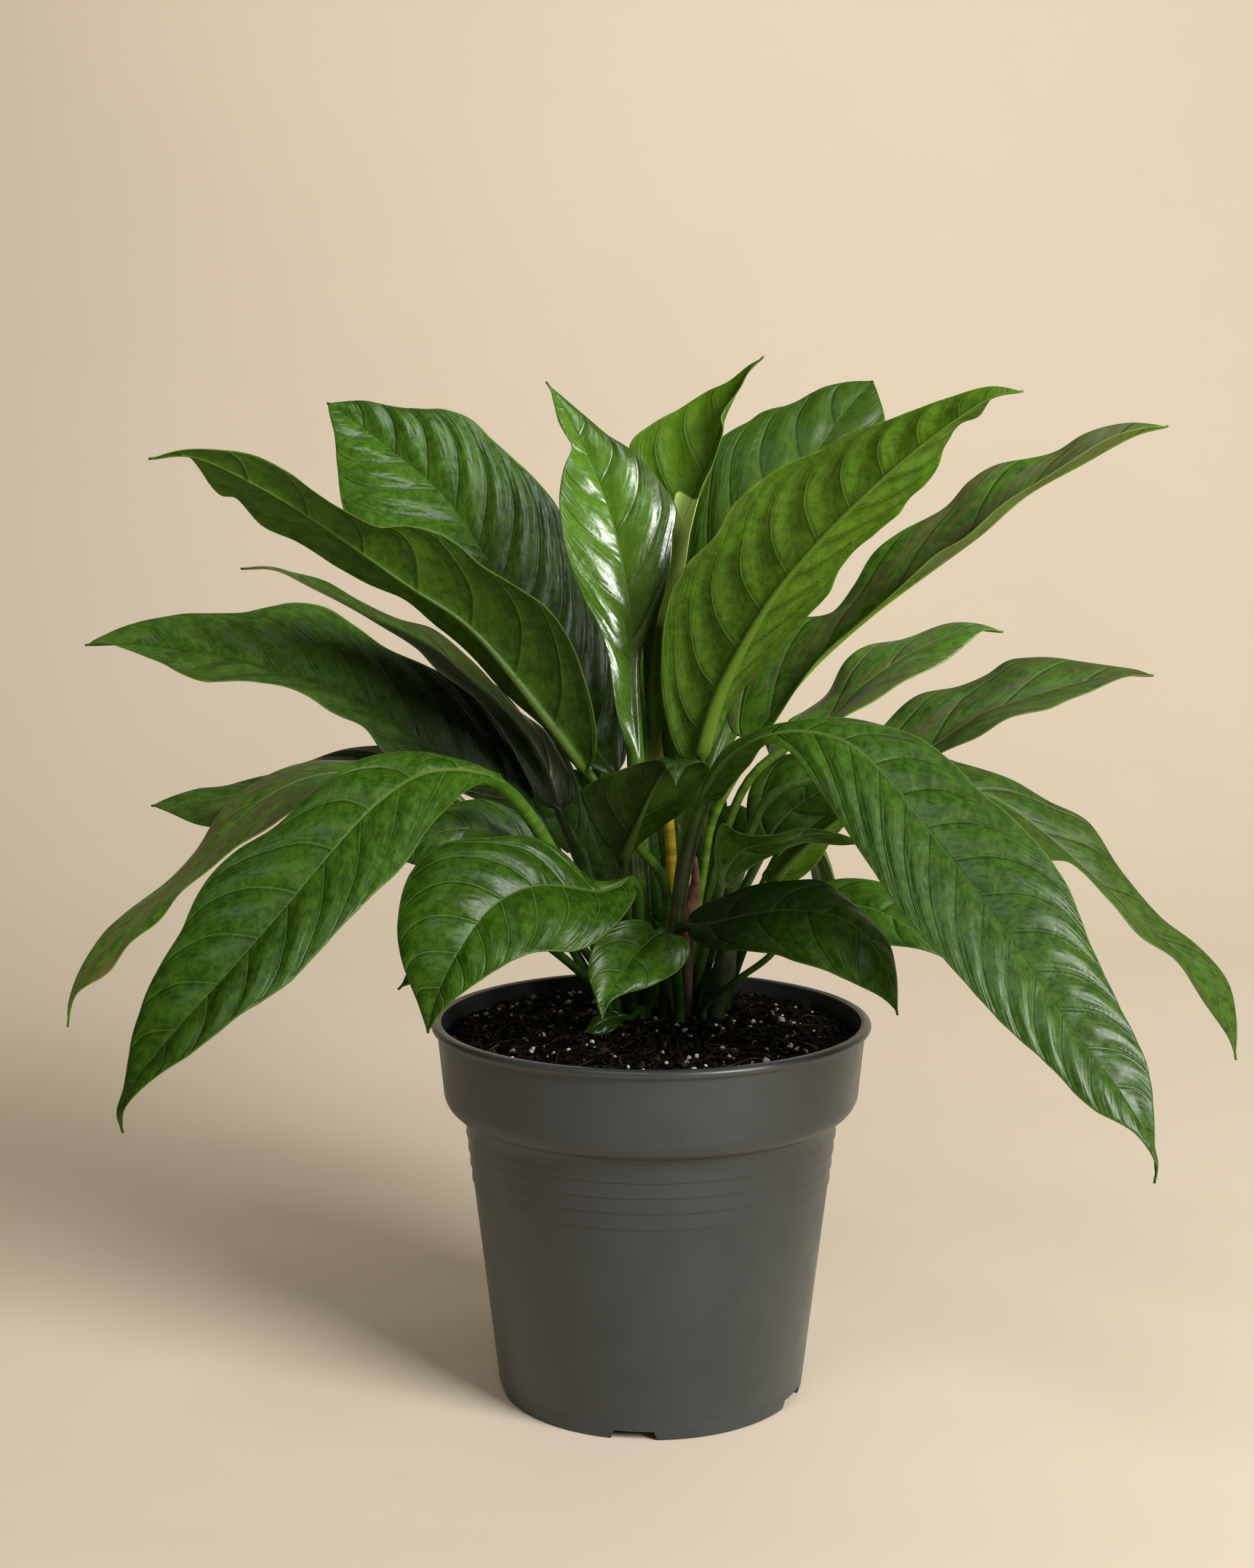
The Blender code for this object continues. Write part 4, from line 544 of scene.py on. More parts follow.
# Paints whose colour drifts between two. scale is that of the drift, in waves for each metre, and strength and
# distance are those of the fine grain over it.
PLAIN_PAINTS = {
    "sheath_green": dict(first=(0.012, 0.024, 0.006), second=(0.028, 0.046, 0.010), scale=160, rough=0.5,
                         strength=0.5, distance=0.0004),
    # painted_shade_below is the height, in metres, under which the sheath is painted dark for the shade deep in
    # the crown.
    "sheath_brown": dict(first=(0.20, 0.09, 0.05), second=(0.42, 0.23, 0.14), scale=220, rough=0.6,
                         strength=0.6, distance=0.0005, painted_shade_below=0.203),
    "pot_plastic": dict(first=(0.033, 0.040, 0.040), second=(0.039, 0.046, 0.046), scale=45, rough=0.36,
                        strength=0.12, distance=0.00025),
    "mix": dict(first=(0.0015, 0.0012, 0.0008), second=(0.006, 0.004, 0.003), scale=420, rough=0.9,
                strength=0.9, distance=0.0012, specular=0.05),
    "sweep": dict(first=(0.80, 0.70, 0.56), second=(0.82, 0.715, 0.575), scale=1.5, rough=0.9,
                  strength=0.05, distance=0.0003),
}
# Painted shade: the dark colour that a paint takes on below a height, where the crown shades the sheath.
PAINTED_CROWN_SHADE = (0.012, 0.010, 0.006)

# Paints of the chips, the fibres and the white grains, each with its colours from dark to light.
TONED_PAINTS = {
    "bark": dict(colours=((0.001, 0.0008, 0.0006), (0.0035, 0.0024, 0.0014), (0.014, 0.008, 0.004),
                          (0.19, 0.105, 0.05)), scale=900, rough=0.7, distance=0.0005),
    "coir": dict(colours=((0.008, 0.005, 0.003), (0.04, 0.022, 0.010), (0.26, 0.16, 0.09)),
                 scale=500, rough=0.7, distance=0.0002),
    "pale_grains": dict(colours=((0.30, 0.28, 0.24), (0.6, 0.58, 0.54), (0.85, 0.84, 0.8)),
                        scale=1500, rough=0.75, distance=0.0004),
}
LOOSE_SPECULAR = 0.1
DRIFT_TONES = ((0.45, 0.42, 0.4), (1.1, 1.1, 1.1))

# The studio: a sweep that runs back from the pot and curves up, and lamps, each with its place, the point that it
# faces, its two sides, its power and its colour. The world adds a weak warm light all round.
SWEEP_FRONT = -1.6
SWEEP_BACK = 2.4
SWEEP_CURVE = 1.5
SWEEP_TOP = 2.6
SWEEP_SIDE = 3.2
SWEEP_STEPS = 24
LAMPS = {
    "key": ((1.6, -1.5, 1.3), (0, 0, 0.25), (1.15, 1.0), 80, (1.0, 0.985, 0.955)),
    "front": ((-0.35, -0.97, 1.65), (0, 0, 0.42), (0.7, 0.4), 4.5, (0.97, 0.99, 1.0)),
    "back": ((0.3, 0.9, 1.9), (0.4, 2.3, 0.6), (2.6, 0.4), 15, (1.0, 0.97, 0.95)),
}
WORLD_COLOUR = (1.0, 0.80, 0.48, 1)
WORLD_STRENGTH = 0.088


def sight(points):
    """World points, in mm, of rows of column, row and depth."""
    points = np.asarray(points, float)
    across = (points[:, 0] - SIGHT_COLUMN) / SIGHT_FOCAL
    up = (SIGHT_ROW - points[:, 1]) / SIGHT_FOCAL
    forward = math.cos(SIGHT_PITCH) + up * math.sin(SIGHT_PITCH)
    rise = up * math.cos(SIGHT_PITCH) - math.sin(SIGHT_PITCH)
    far = (points[:, 2] + SIGHT_BACK) / forward
    return np.stack([SIGHT_SIDE + far * across, points[:, 2], SIGHT_HEIGHT + far * rise], axis=1)


def smooth_curve(points):
    """A dense centripetal Catmull-Rom curve through the points."""
    points = np.asarray(points, float)
    first = 2 * points[0] - points[1]
    last = 2 * points[-1] - points[-2]
    points = np.vstack([first, points, last])
    curve = []
    for p0, p1, p2, p3 in zip(points, points[1:], points[2:], points[3:]):
        knots = np.cumsum([0.0] + [max(np.linalg.norm(b - a), 1e-6) ** 0.5
                                   for a, b in ((p0, p1), (p1, p2), (p2, p3))])
        t = np.linspace(knots[1], knots[2], CURVE_STEPS, endpoint=False)[:, None]
        a1 = (knots[1] - t) / (knots[1] - knots[0]) * p0 + (t - knots[0]) / (knots[1] - knots[0]) * p1
        a2 = (knots[2] - t) / (knots[2] - knots[1]) * p1 + (t - knots[1]) / (knots[2] - knots[1]) * p2
        a3 = (knots[3] - t) / (knots[3] - knots[2]) * p2 + (t - knots[2]) / (knots[3] - knots[2]) * p3
        b1 = (knots[2] - t) / (knots[2] - knots[0]) * a1 + (t - knots[0]) / (knots[2] - knots[0]) * a2
        b2 = (knots[3] - t) / (knots[3] - knots[1]) * a2 + (t - knots[1]) / (knots[3] - knots[1]) * a3
        curve.append((knots[2] - t) / (knots[2] - knots[1]) * b1 + (t - knots[1]) / (knots[2] - knots[1]) * b2)
    return np.vstack(curve + [points[-2]])


def spaced(curve, shares, axes):
    """Points at the given shares of a dense curve's length, measured over its first axes."""
    steps = np.linalg.norm(np.diff(curve[:, :axes], axis=0), axis=1)
    along = np.concatenate([[0.0], np.cumsum(steps)])
    return np.stack([np.interp(shares * along[-1], along, column) for column in curve.T], axis=1)


def unit(vectors):
    """The vectors with a length of one."""
    return vectors / np.maximum(np.linalg.norm(vectors, axis=-1, keepdims=True), 1e-9)


def smoothed(rows, rounds):
    """The rows with each one drawn towards its neighbours."""
    for _ in range(rounds):
        inner = (rows[:-2] + 2 * rows[1:-1] + rows[2:]) / 4
        rows = np.vstack([rows[:1], inner, rows[-1:]])
    return rows


def smoothstep(low, high, value):
    """How far a value has come from low to high, eased at both ends."""
    share = np.clip((value - low) / (high - low), 0, 1)
    return share * share * (3 - 2 * share)


def half_width(width, share):
    """Half of the blade's real width at a share of its length: widest at two fifths, drawn out to the tip."""
    return width / 2 * np.sin(math.pi * share ** 0.75) ** 0.8


def blade_lines(leaf, shares):
    """The rib and the two margins in space, at shares of the blade's length."""
    rib = spaced(smooth_curve(leaf["rib"]), shares, 2)
    ends = [leaf["rib"][0][:2], leaf["rib"][-1][:2]]
    half = half_width(leaf["width"], shares)
    sides = []
    for margin, lean in zip((leaf["left"], leaf["right"]), leaf["lean"]):
        seen = spaced(smooth_curve([ends[0], *margin, ends[1]]), shares, 2)
        sides.append(sight(np.column_stack([seen, rib[:, 2] + lean * half])))
    return sight(rib), sides[0], sides[1]


def turned_lines(lines, leaf):
    """The lines of another leaf, turned about the crown and drawn in or out."""
    turn = math.radians(leaf["turn"])
    spin = np.array([[math.cos(turn), -math.sin(turn)], [math.sin(turn), math.cos(turn)]])
    crown = np.array([CROWN_X, CROWN_Y])
    moved = []
    for line in lines:
        flat = (line[:, :2] - crown) @ spin.T * leaf["reach"] + crown
        height = SOIL_TOP + (line[:, 2] - SOIL_TOP) * leaf["lift"] + leaf["rise"]
        moved.append(np.column_stack([flat, height]))
    return moved


def soil_height(x, y):
    """The height of the mix, which rises towards the middle."""
    away = math.hypot(x, y) / SOIL_MOUND_RADIUS
    return SOIL_TOP + SOIL_MOUND * math.exp(-away * away)


def spread_feet(leaves):
    """The places where the stalks stand, with any two that are too close moved apart."""
    crown = np.array([CROWN_X, CROWN_Y])
    feet = crown + FEET_DRAWN * (np.array([leaf["foot"] for leaf in leaves.values()], float) - crown)
    stalks = [max(leaf["radii"]) if "radii" in leaf else LEAVES[leaf.get("like", name)]["stalk"]
              for name, leaf in leaves.items()]
    room = np.array(stalks) + FEET_APART / 2
    for _ in range(FEET_ROUNDS):
        for i in range(len(feet)):
            away = feet[i] - feet
            distance = np.linalg.norm(away, axis=1)
            apart = room + room[i]
            distance[i] = apart[i]
            push = np.maximum(apart - distance, 0)[:, None] * unit(away)
            feet[i] += FEET_PUSH * push.sum(axis=0)
    return dict(zip(leaves, feet))


def standing(foot):
    """The two points that a stalk stands on: its end inside the mix and one just over the mix."""
    level = soil_height(*foot)
    return np.array([[*foot, level - STALK_DEPTH], [*foot, level + STALK_RISE]])


def stalk_line(foot, via, rib):
    """The stalk from inside the mix to the blade's base, which it meets along the rib."""
    low, high = standing(foot)
    dense = smooth_curve([low, high, *via, *rib[:3]])
    first = int(np.argmin(np.linalg.norm(dense - high, axis=1)))
    last = int(np.argmin(np.linalg.norm(dense - rib[0], axis=1)))
    shares = np.linspace(0, 1, STALK_RINGS - 1, endpoint=False)
    return np.vstack([low, spaced(dense[first : last + 1], shares, 3)])


def rib_radius(stalk, share):
    """The rib's radius at a share of the blade's length, drawn out to the tip."""
    return TIP_RADIUS + (stalk - TIP_RADIUS) * (1 - share) ** 1.2


def margin_ways(rib, margins, rounds):
    """For each margin the way from the rib to it, ring by ring, once exact and once evened along the blade, and
    its distance from the rib."""
    ways = []
    for margin in margins:
        out = margin - rib
        exact = unit(out)
        exact[:2] = exact[2]
        exact[-2:] = exact[-3]
        ways.append((exact, unit(smoothed(exact, rounds)), np.linalg.norm(out, axis=1)))
    return ways


def ring_frames(centre, ways, upper):
    """For each ring the way along the leaf, the way across it and the way out of its upper face."""
    forward = unit(np.gradient(centre, axis=0))
    across = unit(ways[1][1] - ways[0][1])
    across = np.vstack([np.repeat(across[:1], len(centre) - len(across), axis=0), across])
    across = unit(across - (across * forward).sum(axis=1, keepdims=True) * forward)
    return forward, across, unit(np.cross(across, forward)) * upper


def steps_out(reach, rib_part):
    """How far from the rib the points of a half blade lie."""
    near = rib_part * np.array(RIB_STEPS)
    outer = np.linspace(near[-1], max(reach - EDGE_STEP, near[-1] + LEAST_STEP), SIDE_STEPS + 1)[1:]
    return np.concatenate([near, outer, [max(reach, outer[-1] + LEAST_STEP)]])


def swelling(look, share, phase, reach, travelled, strengths):
    """How high a half blade swells between its side veins. It stays flat at the rib, at both ends and, mostly, at
    the margin."""
    fall = smoothstep(*SWELL_FROM, share) * (1 - 0.75 * smoothstep(*SWELL_TO, share))
    fall = fall * smoothstep(*SWELL_BASE, travelled) * (1 - smoothstep(*SWELL_TIP, travelled))
    part = np.mod(phase, 1) ** 1.2
    bulge = (1 - np.abs(2 * part - 1) ** 1.9) - 0.5
    height = look["quilt"] * (0.75 + 0.5 * strengths[np.floor(phase).astype(int) % SWELLINGS])
    return bulge * height * min(1.0, reach / FULL_QUILT) * fall


def margin_wave(share, reach, travelled, start):
    """How high a half blade waves, most of all at its margin."""
    wave = math.sin(2 * math.pi * (MARGIN_WAVES * travelled + start))
    return wave * MARGIN_WAVE * share**2.5 * min(1.0, reach / FULL_WAVE) * smoothstep(0, 0.15, travelled)


def leaf_object(name, lines, foot, leaf, look, paints):
    """A fine closed leaf: its blade is quilted between the side veins, and its stalk runs down into the mix."""
    rib, *margins = lines
    via = sight(leaf["via"]) if "via" in leaf else []
    centre = np.vstack([stalk_line(foot, via, rib[:: len(rib) // 9]), rib])
    stalk_rings = len(centre) - len(rib)
    steps = np.linalg.norm(np.diff(centre, axis=0), axis=1)
    travelled = np.concatenate([[0.0], np.cumsum(steps)])
    along = travelled - travelled[stalk_rings]
    shares = np.clip(along / along[-1], 0, 1)
    radius = rib_radius(leaf["stalk"], shares)
    ways = margin_ways(rib, margins, int(2 * (SMOOTH_SHARE * len(rib)) ** 2))
    upper = -1 if leaf.get("under") else 1
    forward, across, normal = ring_frames(centre, ways, upper)
    rng = np.random.default_rng(sum(map(ord, name)))
    starts = rng.uniform(0, 1, 4)
    strengths = rng.uniform(0, 1, SWELLINGS)
    count = len(RIB_STEPS) + SIDE_STEPS + 1
    rings = np.empty((len(centre), 4 * count + 2, 3))
    marks = np.empty((len(centre), 4 * count + 2, 6))
    turns = np.radians(np.linspace(ROUND_FROM, ROUND_TO, 2 * count + 1))[:, None]
    for i, middle in enumerate(centre):
        # On the stalk j is below nought and the ring is round. On the blade the ring spreads as the blade widens.
        j = i - stalk_rings
        size = radius[i]
        slim = size * (1 - 0.5 * smoothstep(0.05, 0.5, shares[i]))
        blade = np.zeros((2 * count + 1, 2, 3))
        facts = np.zeros((2 * count + 1, 6))
        facts[:, 3] = along[i]
        spread = np.zeros(2 * count + 1)
        for side, (exact, soft, lengths) in enumerate(ways if j >= 0 else ()):
            sign = 2 * side - 1
            reach = lengths[j]
            rib_part = min(slim, RIB_SHARE * reach)
            away = steps_out(reach, rib_part)
            share = away / away[-1]
            way = soft[j] + (exact[j] - soft[j]) * (share**2)[:, None]
            own = unit(np.cross(soft[j], forward[i])) * upper * sign
            shift = reach * (look["sweep"] * share + look["bow"] * share**4)
            phase = (along[i] - shift) / (VEIN_APART * look["apart"]) + starts[side] + VEINS_BEFORE
            lift = leaf["arch"] * away[-1] * 4 * share * (1 - share)
            lift = lift + swelling(look, share, phase, reach, shares[i], strengths)
            lift = lift + margin_wave(share, reach, shares[i], starts[2 + side])
            thick = BLADE_THICK / 2 * np.where(share > 0.999, MARGIN_THICK, 1.0)
            low = rib_part * RIB_PROUD * np.sqrt(np.clip(1 - (away / (1.15 * rib_part + 1e-6)) ** 2, 0, 1))
            deep = RIB_GROOVE * slim / RIB_USUAL * np.exp(-((away / (0.55 * rib_part + 1e-6)) ** 2))
            place = middle + way * away[:, None] + own * lift[:, None]
            slots = count + sign * np.arange(1, count + 1)
            blade[slots, 0] = place + own * (thick - deep)[:, None]
            blade[slots, 1] = place - own * (thick + low)[:, None]
            ratio = smoothstep(0, 1, (away[-1] / size - 1.0) / 2.5)
            spread[slots] = ratio
            spread[count] += ratio / 2
            facts[slots] = np.column_stack([phase, share, np.full(count, ratio), np.full(count, along[i]),
                                            sign * away, away / slim])
        if j >= 0:
            rib_part = min(slim, *(RIB_SHARE * lengths[j] for _, _, lengths in ways))
            blade[count, 0] = middle + normal[i] * (BLADE_THICK / 2 - RIB_GROOVE * slim / RIB_USUAL)
            blade[count, 1] = middle - normal[i] * (BLADE_THICK / 2 + rib_part * RIB_PROUD)
            facts[count, 2] = spread[count]
        wide = np.cos(turns) * across[i]
        high = np.abs(np.sin(turns)) * normal[i]
        share = spread[:, None]
        top = blade[:, 0] * share + (middle + size * (wide + high)) * (1 - share)
        low = blade[:, 1] * share + (middle + size * (wide - high)) * (1 - share)
        rings[i] = np.vstack([top, low[::-1]])
        marks[i] = np.vstack([facts, facts[::-1]])
    return loft(name, rings, marks, look, rng.uniform(0, 60), paints)


def loft(name, rings, marks, look, seed, paints):
    """The closed mesh over a leaf's rings, with what its paint reads kept on each point."""
    total, size = rings.shape[:2]
    mesh = new_mesh(name, rings, tube_quads(total, size).tolist() + tube_caps(total, size), *paints)
    slots = np.arange(size)
    kinds = np.tile(np.where((slots >= size // 2 - 1) & (slots < size - 1), 1, 0), total - 1)
    mesh.polygons.foreach_set("material_index", np.concatenate([kinds, [0, 0]]).astype(np.int32))
    flat = marks.reshape(-1, 6)
    travelled = flat[:, 3] / flat[:, 3].max()
    right = flat[:, 1] * np.sign(flat[:, 4])
    ends = smoothstep(*LOOK_TURNS, travelled)
    # shade is mostly painted light and shade, turned from its value at the base to that at the tip.
    shade, gloss = (first + (last - first) * ends for first, last in (look["shade"], look["gloss"]))
    # The turned-over margin is painted, not folded: a pale strip, painted brightly lit.
    folded = smoothstep(0, 0.1, right - look["fold"])
    folded *= smoothstep(*FOLD_STARTS, travelled) * (1 - smoothstep(*FOLD_STOPS, travelled))
    # Painted shade, from some way out on the right side of the blade.
    painted_side_shade_from, painted_side_shade = look["painted_side_shade"]
    painted_side_shade = painted_side_shade * smoothstep(painted_side_shade_from, painted_side_shade_from + PAINTED_SIDE_SHADE_WIDE, right)
    keep(mesh, "leaf", *flat[:, :3].T)
    keep(mesh, "place", *flat[:, 3:].T)
    keep(mesh, "tint", look["young"], look["pale"], seed)
    keep(mesh, "tone", shade, look["streak"], look["stalk"])
    keep(mesh, "extra", folded, gloss, painted_side_shade)
    return smooth_object(name, mesh)


def tube_quads(rings, sides):
    """The faces of a tube, ring by ring, as rows of four points."""
    first = np.arange(sides)
    after = np.roll(first, -1)
    rows = np.arange(rings - 1)[:, None] * sides
    corners = [rows + first, rows + after, rows + sides + after, rows + sides + first]
    return np.stack(corners, axis=2).reshape(-1, 4)


def tube_caps(rings, sides):
    """The two faces that close a tube."""
    first = np.arange(sides)
    return [first[::-1].tolist(), (first + (rings - 1) * sides).tolist()]


def new_mesh(name, points, faces, *paints):
    """A mesh of points that are given in millimetres."""
    mesh = bpy.data.meshes.new(name)
    mesh.from_pydata((points.reshape(-1, 3) * MM).tolist(), [], faces)
    for paint in paints:
        mesh.materials.append(paint)
    return mesh


def keep(mesh, key, *columns):
    """Keeps three numbers on each point, each either the same all over or one for each point."""
    columns = [np.broadcast_to(column, len(mesh.vertices)) for column in columns]
    layer = mesh.attributes.new(key, "FLOAT_VECTOR", "POINT")
    layer.data.foreach_set("vector", np.column_stack(columns).astype(np.float32).ravel())


def rows_of(items, key, kind):
    """What many items hold under a key, as rows of three."""
    values = np.empty(len(items) * 3, kind)
    items.foreach_get(key, values)
    return values.reshape(-1, 3)


def smooth_object(name, mesh):
    """A smooth object of a closed mesh, whose faces are turned outwards."""
    mesh.shade_smooth()
    mesh.calc_loop_triangles()
    corners = rows_of(mesh.vertices, "co", float)[rows_of(mesh.loop_triangles, "vertices", np.int32)]
    if np.linalg.det(corners).sum() < 0:
        mesh.flip_normals()
    return linked(name, mesh)


def source(tree, kind, output, **settings):
    """An output of a node that takes nothing in."""
    item = tree.nodes.new(kind)
    for key, value in settings.items():
        setattr(item, key, value)
    return item.outputs[output]


def add_node(kind, sockets, **settings):
    """A node with its settings and its sockets. Each socket takes a number, a colour or another node's output, and
    at least one takes an output, which says where the new node belongs."""
    outputs = [value for value in sockets.values() if isinstance(value, bpy.types.NodeSocket)]
    tree = outputs[0].id_data
    item = tree.nodes.new(kind)
    for key, value in settings.items():
        setattr(item, key, value)
    for key, value in sockets.items():
        socket = item.inputs[key]
        if value in outputs:
            tree.links.new(value, socket)
        else:
            socket.default_value = (*value, 1) if socket.type == "RGBA" else value
    return item


def maths(operation, *values, clamp=False):
    """One sum, difference or other calculation on values."""
    sockets = dict(enumerate(values))
    return add_node("ShaderNodeMath", sockets, operation=operation, use_clamp=clamp).outputs[0]


def mixed(share, first, second, blend="MIX"):
    """The first colour, turned towards the second by a share."""
    sockets = {0: share, 6: first, 7: second}
    return add_node("ShaderNodeMix", sockets, data_type="RGBA", blend_type=blend).outputs[2]


def eased(value, low, high, start=0.0, end=1.0):
    """A number that goes from start to end, eased, while the value goes from low to high."""
    sockets = {"Value": value, "From Min": low, "From Max": high, "To Min": start, "To Max": end}
    return add_node("ShaderNodeMapRange", sockets, interpolation_type="SMOOTHSTEP").outputs[0]


def grain(vector, scale, detail, rough, bend=0.0):
    """A noise around one half."""
    sockets = {"Vector": vector, "Scale": scale, "Detail": detail, "Roughness": rough, "Distortion": bend}
    return add_node("ShaderNodeTexNoise", sockets).outputs[0]


def reading(tree, name):
    """The three numbers that a point keeps under a name."""
    vector = source(tree, "ShaderNodeAttribute", "Vector", attribute_name=name)
    return add_node("ShaderNodeSeparateXYZ", {0: vector}).outputs


def new_paint(name, specular):
    """A material, its tree and its shader."""
    paint = bpy.data.materials.new(name)
    paint.use_nodes = True
    shader = paint.node_tree.nodes["Principled BSDF"]
    shader.inputs["Specular IOR Level"].default_value = specular
    return paint, paint.node_tree, shader


def bumped(shader, height, strength, distance):
    """Gives the shader a relief, whose distance is in metres."""
    sockets = {"Height": height, "Strength": strength, "Distance": distance}
    shader.id_data.links.new(add_node("ShaderNodeBump", sockets).outputs[0], shader.inputs["Normal"])


def joined(*values):
    """A vector of three numbers."""
    return add_node("ShaderNodeCombineXYZ", dict(enumerate(values))).outputs[0]


def times(*values):
    """The product of all the values."""
    result = values[0]
    for value in values[1:]:
        result = maths("MULTIPLY", result, value)
    return result


def summed(*values):
    """The sum of all the values."""
    result = values[0]
    for value in values[1:]:
        result = maths("ADD", result, value)
    return result


def ramp(value, stops):
    """The colour at a value, between colours that stand at their places from 0 to 1."""
    item = add_node("ShaderNodeValToRGB", {0: value})
    elements = item.color_ramp.elements
    places = list(stops)
    elements[0].color = (*stops[places[0]], 1)
    elements[1].color = (*stops[places[-1]], 1)
    for place in places[1:-1]:
        elements.new(place).color = (*stops[place], 1)
    return item.outputs[0]


def leaf_paint(name, specular):
    """A face of the leaves: its green, the pale rib and side veins, the net of small veins and the pale margin,
    with light and shade painted into the green.
    """
    paint, tree, shader = new_paint(name, specular)
    under = name == "leaf_under"
    colours = UNDER_COLOURS if under else UPPER_COLOURS
    face = UNDER_FACE if under else UPPER_FACE
    phase, share, blade = reading(tree, "leaf")
    along, across, near = reading(tree, "place")
    young, pale, seed = reading(tree, "tint")
    shade, streak, tone = reading(tree, "tone")
    fold, gloss, painted_side_shade = reading(tree, "extra")

    # The grains over the face, in millimetres along and across it. The bands are drawn out lengthwise.
    spot = joined(along, across, seed)
    slant = joined(times(phase, VEIN_APART), times(across, 0.75), seed)
    lengthwise = joined(times(along, 0.016), times(across, 0.42), seed)
    mottle = grain(spot, 0.2, 4, 0.62, 0.4)
    patch = grain(spot, 0.04, 2, 0.5)
    fine = grain(spot, 0.6, 2, 0.6)
    band = grain(lengthwise, 1.0, 3, 0.6, 0.2)

    # Where the side veins, the shadow beside each, the rib, the net, the swellings in it and the margin are.
    off_vein = maths("SUBTRACT", maths("FRACT", maths("ADD", phase, 0.5)), 0.5)
    near_vein = maths("ABSOLUTE", off_vein)
    near_shadow = maths("ABSOLUTE", maths("SUBTRACT", off_vein, 0.05))
    inside = times(blade, eased(share, 0.88, 0.98, 1, 0))
    vein = times(eased(near_vein, 0.008, 0.026, 1, 0), inside)
    groove = times(eased(near_vein, 0.0, 0.085, 1, 0), inside)
    shadow = times(eased(near_shadow, 0.0, 0.075, 1, 0), inside)
    rib = eased(near, face["rib_from"], face["rib_to"], 1, 0)
    cells = add_node("ShaderNodeTexVoronoi", {"Vector": slant, "Scale": 0.15}, feature="DISTANCE_TO_EDGE")
    net = cells.outputs[0]
    thread = times(eased(net, 0.0, 0.07, 1, 0), inside)
    pillow = times(eased(net, 0.0, 0.32), blade)
    edge = times(eased(share, 0.966, 0.992), blade)

    # The colour, from the plain green up to what lies on it.
    blend = summed(times(mottle, 0.85), times(patch, 0.3))
    green = mixed(eased(blend, 0.40, 0.76), colours["deep"], colours["mid"])
    green = mixed(times(young, 0.8), green, colours["young"])
    worn = eased(summed(band, times(groove, 0.05)), 0.44, 0.56)
    green = mixed(times(streak, worn), green, BAND_BROWN)
    green = mixed(times(shadow, face["shadow"]), green, VEIN_SHADOW)
    green = mixed(times(thread, 0.14), green, colours["vein"])
    line = summed(face["line"], times(pale, 0.55))
    green = mixed(times(vein, line), green, colours["vein"])
    green = mixed(times(edge, 0.65), green, colours["edge"])
    fade = eased(along, 30.0, 150.0, 0.9, 0.35)
    fade = maths("ADD", fade, times(pale, 0.45), clamp=True)
    green = mixed(times(rib, fade, blade), green, colours["rib"])
    # Painted light and shade: the leaf's shade from base to tip, darkened further by the painted shade on one
    # side.
    shade = times(shade, maths("SUBTRACT", 1.0, painted_side_shade))
    green = add_node("ShaderNodeVectorMath", {0: green, "Scale": shade}, operation="SCALE").outputs[0]
    # The turned-over strip is painted pale and brightly lit, on top of the painted light and shade.
    if under:
        green = mixed(times(eased(fold, 0.4, 0.6), 0.95), green, FOLD_PALE_AND_LIGHT)

    # The stalk has a tone of its own.
    stained = eased(mottle, 0.35, 0.65, 0.0, 0.5)
    stalk = mixed(stained, ramp(tone, STALK_TONES), STALK_MOTTLE)
    green = mixed(eased(along, -25.0, 8.0, 1, 0), green, stalk)
    tree.links.new(green, shader.inputs["Base Color"])

    # How rough the face is, and its relief.
    rough = eased(summed(times(mottle, 0.6), times(fine, 0.4)), 0.35, 0.65, 0.36, 0.48)
    rough = summed(rough, times(gloss, -0.1))
    tree.links.new(rough, shader.inputs["Roughness"])
    proud = face["proud"]
    height = summed(times(groove, 0.4 * proud), times(vein, 0.2 * proud),
                    times(pillow, -0.2 * proud), times(fine, 0.05), times(mottle, face["mottle"]))
    bumped(shader, height, 0.6, 0.0009)
    return paint


def plain_paint(name, first, second, scale, rough, strength, distance, painted_shade_below=0.0, specular=0.5):
    """A paint whose colour drifts between two, over a fine grain, with painted shade below a height in metres."""
    paint, tree, shader = new_paint(name, specular)
    spot = source(tree, "ShaderNodeTexCoord", "Object")
    drift = grain(spot, scale, 4, 0.6)
    colour = mixed(eased(drift, 0.35, 0.65), first, second)
    if painted_shade_below:
        height = add_node("ShaderNodeSeparateXYZ", {0: spot}).outputs[2]
        # Painted shade: darker below the height.
        painted_shade = eased(height, painted_shade_below - 0.015, painted_shade_below + 0.01, 0.9, 0.0)
        colour = mixed(painted_shade, colour, PAINTED_CROWN_SHADE)
    tree.links.new(colour, shader.inputs["Base Color"])
    tree.links.new(eased(drift, 0.3, 0.7, rough - 0.06, rough + 0.06), shader.inputs["Roughness"])
    bumped(shader, grain(spot, scale * 6, 3, 0.6), strength, distance)
    return paint


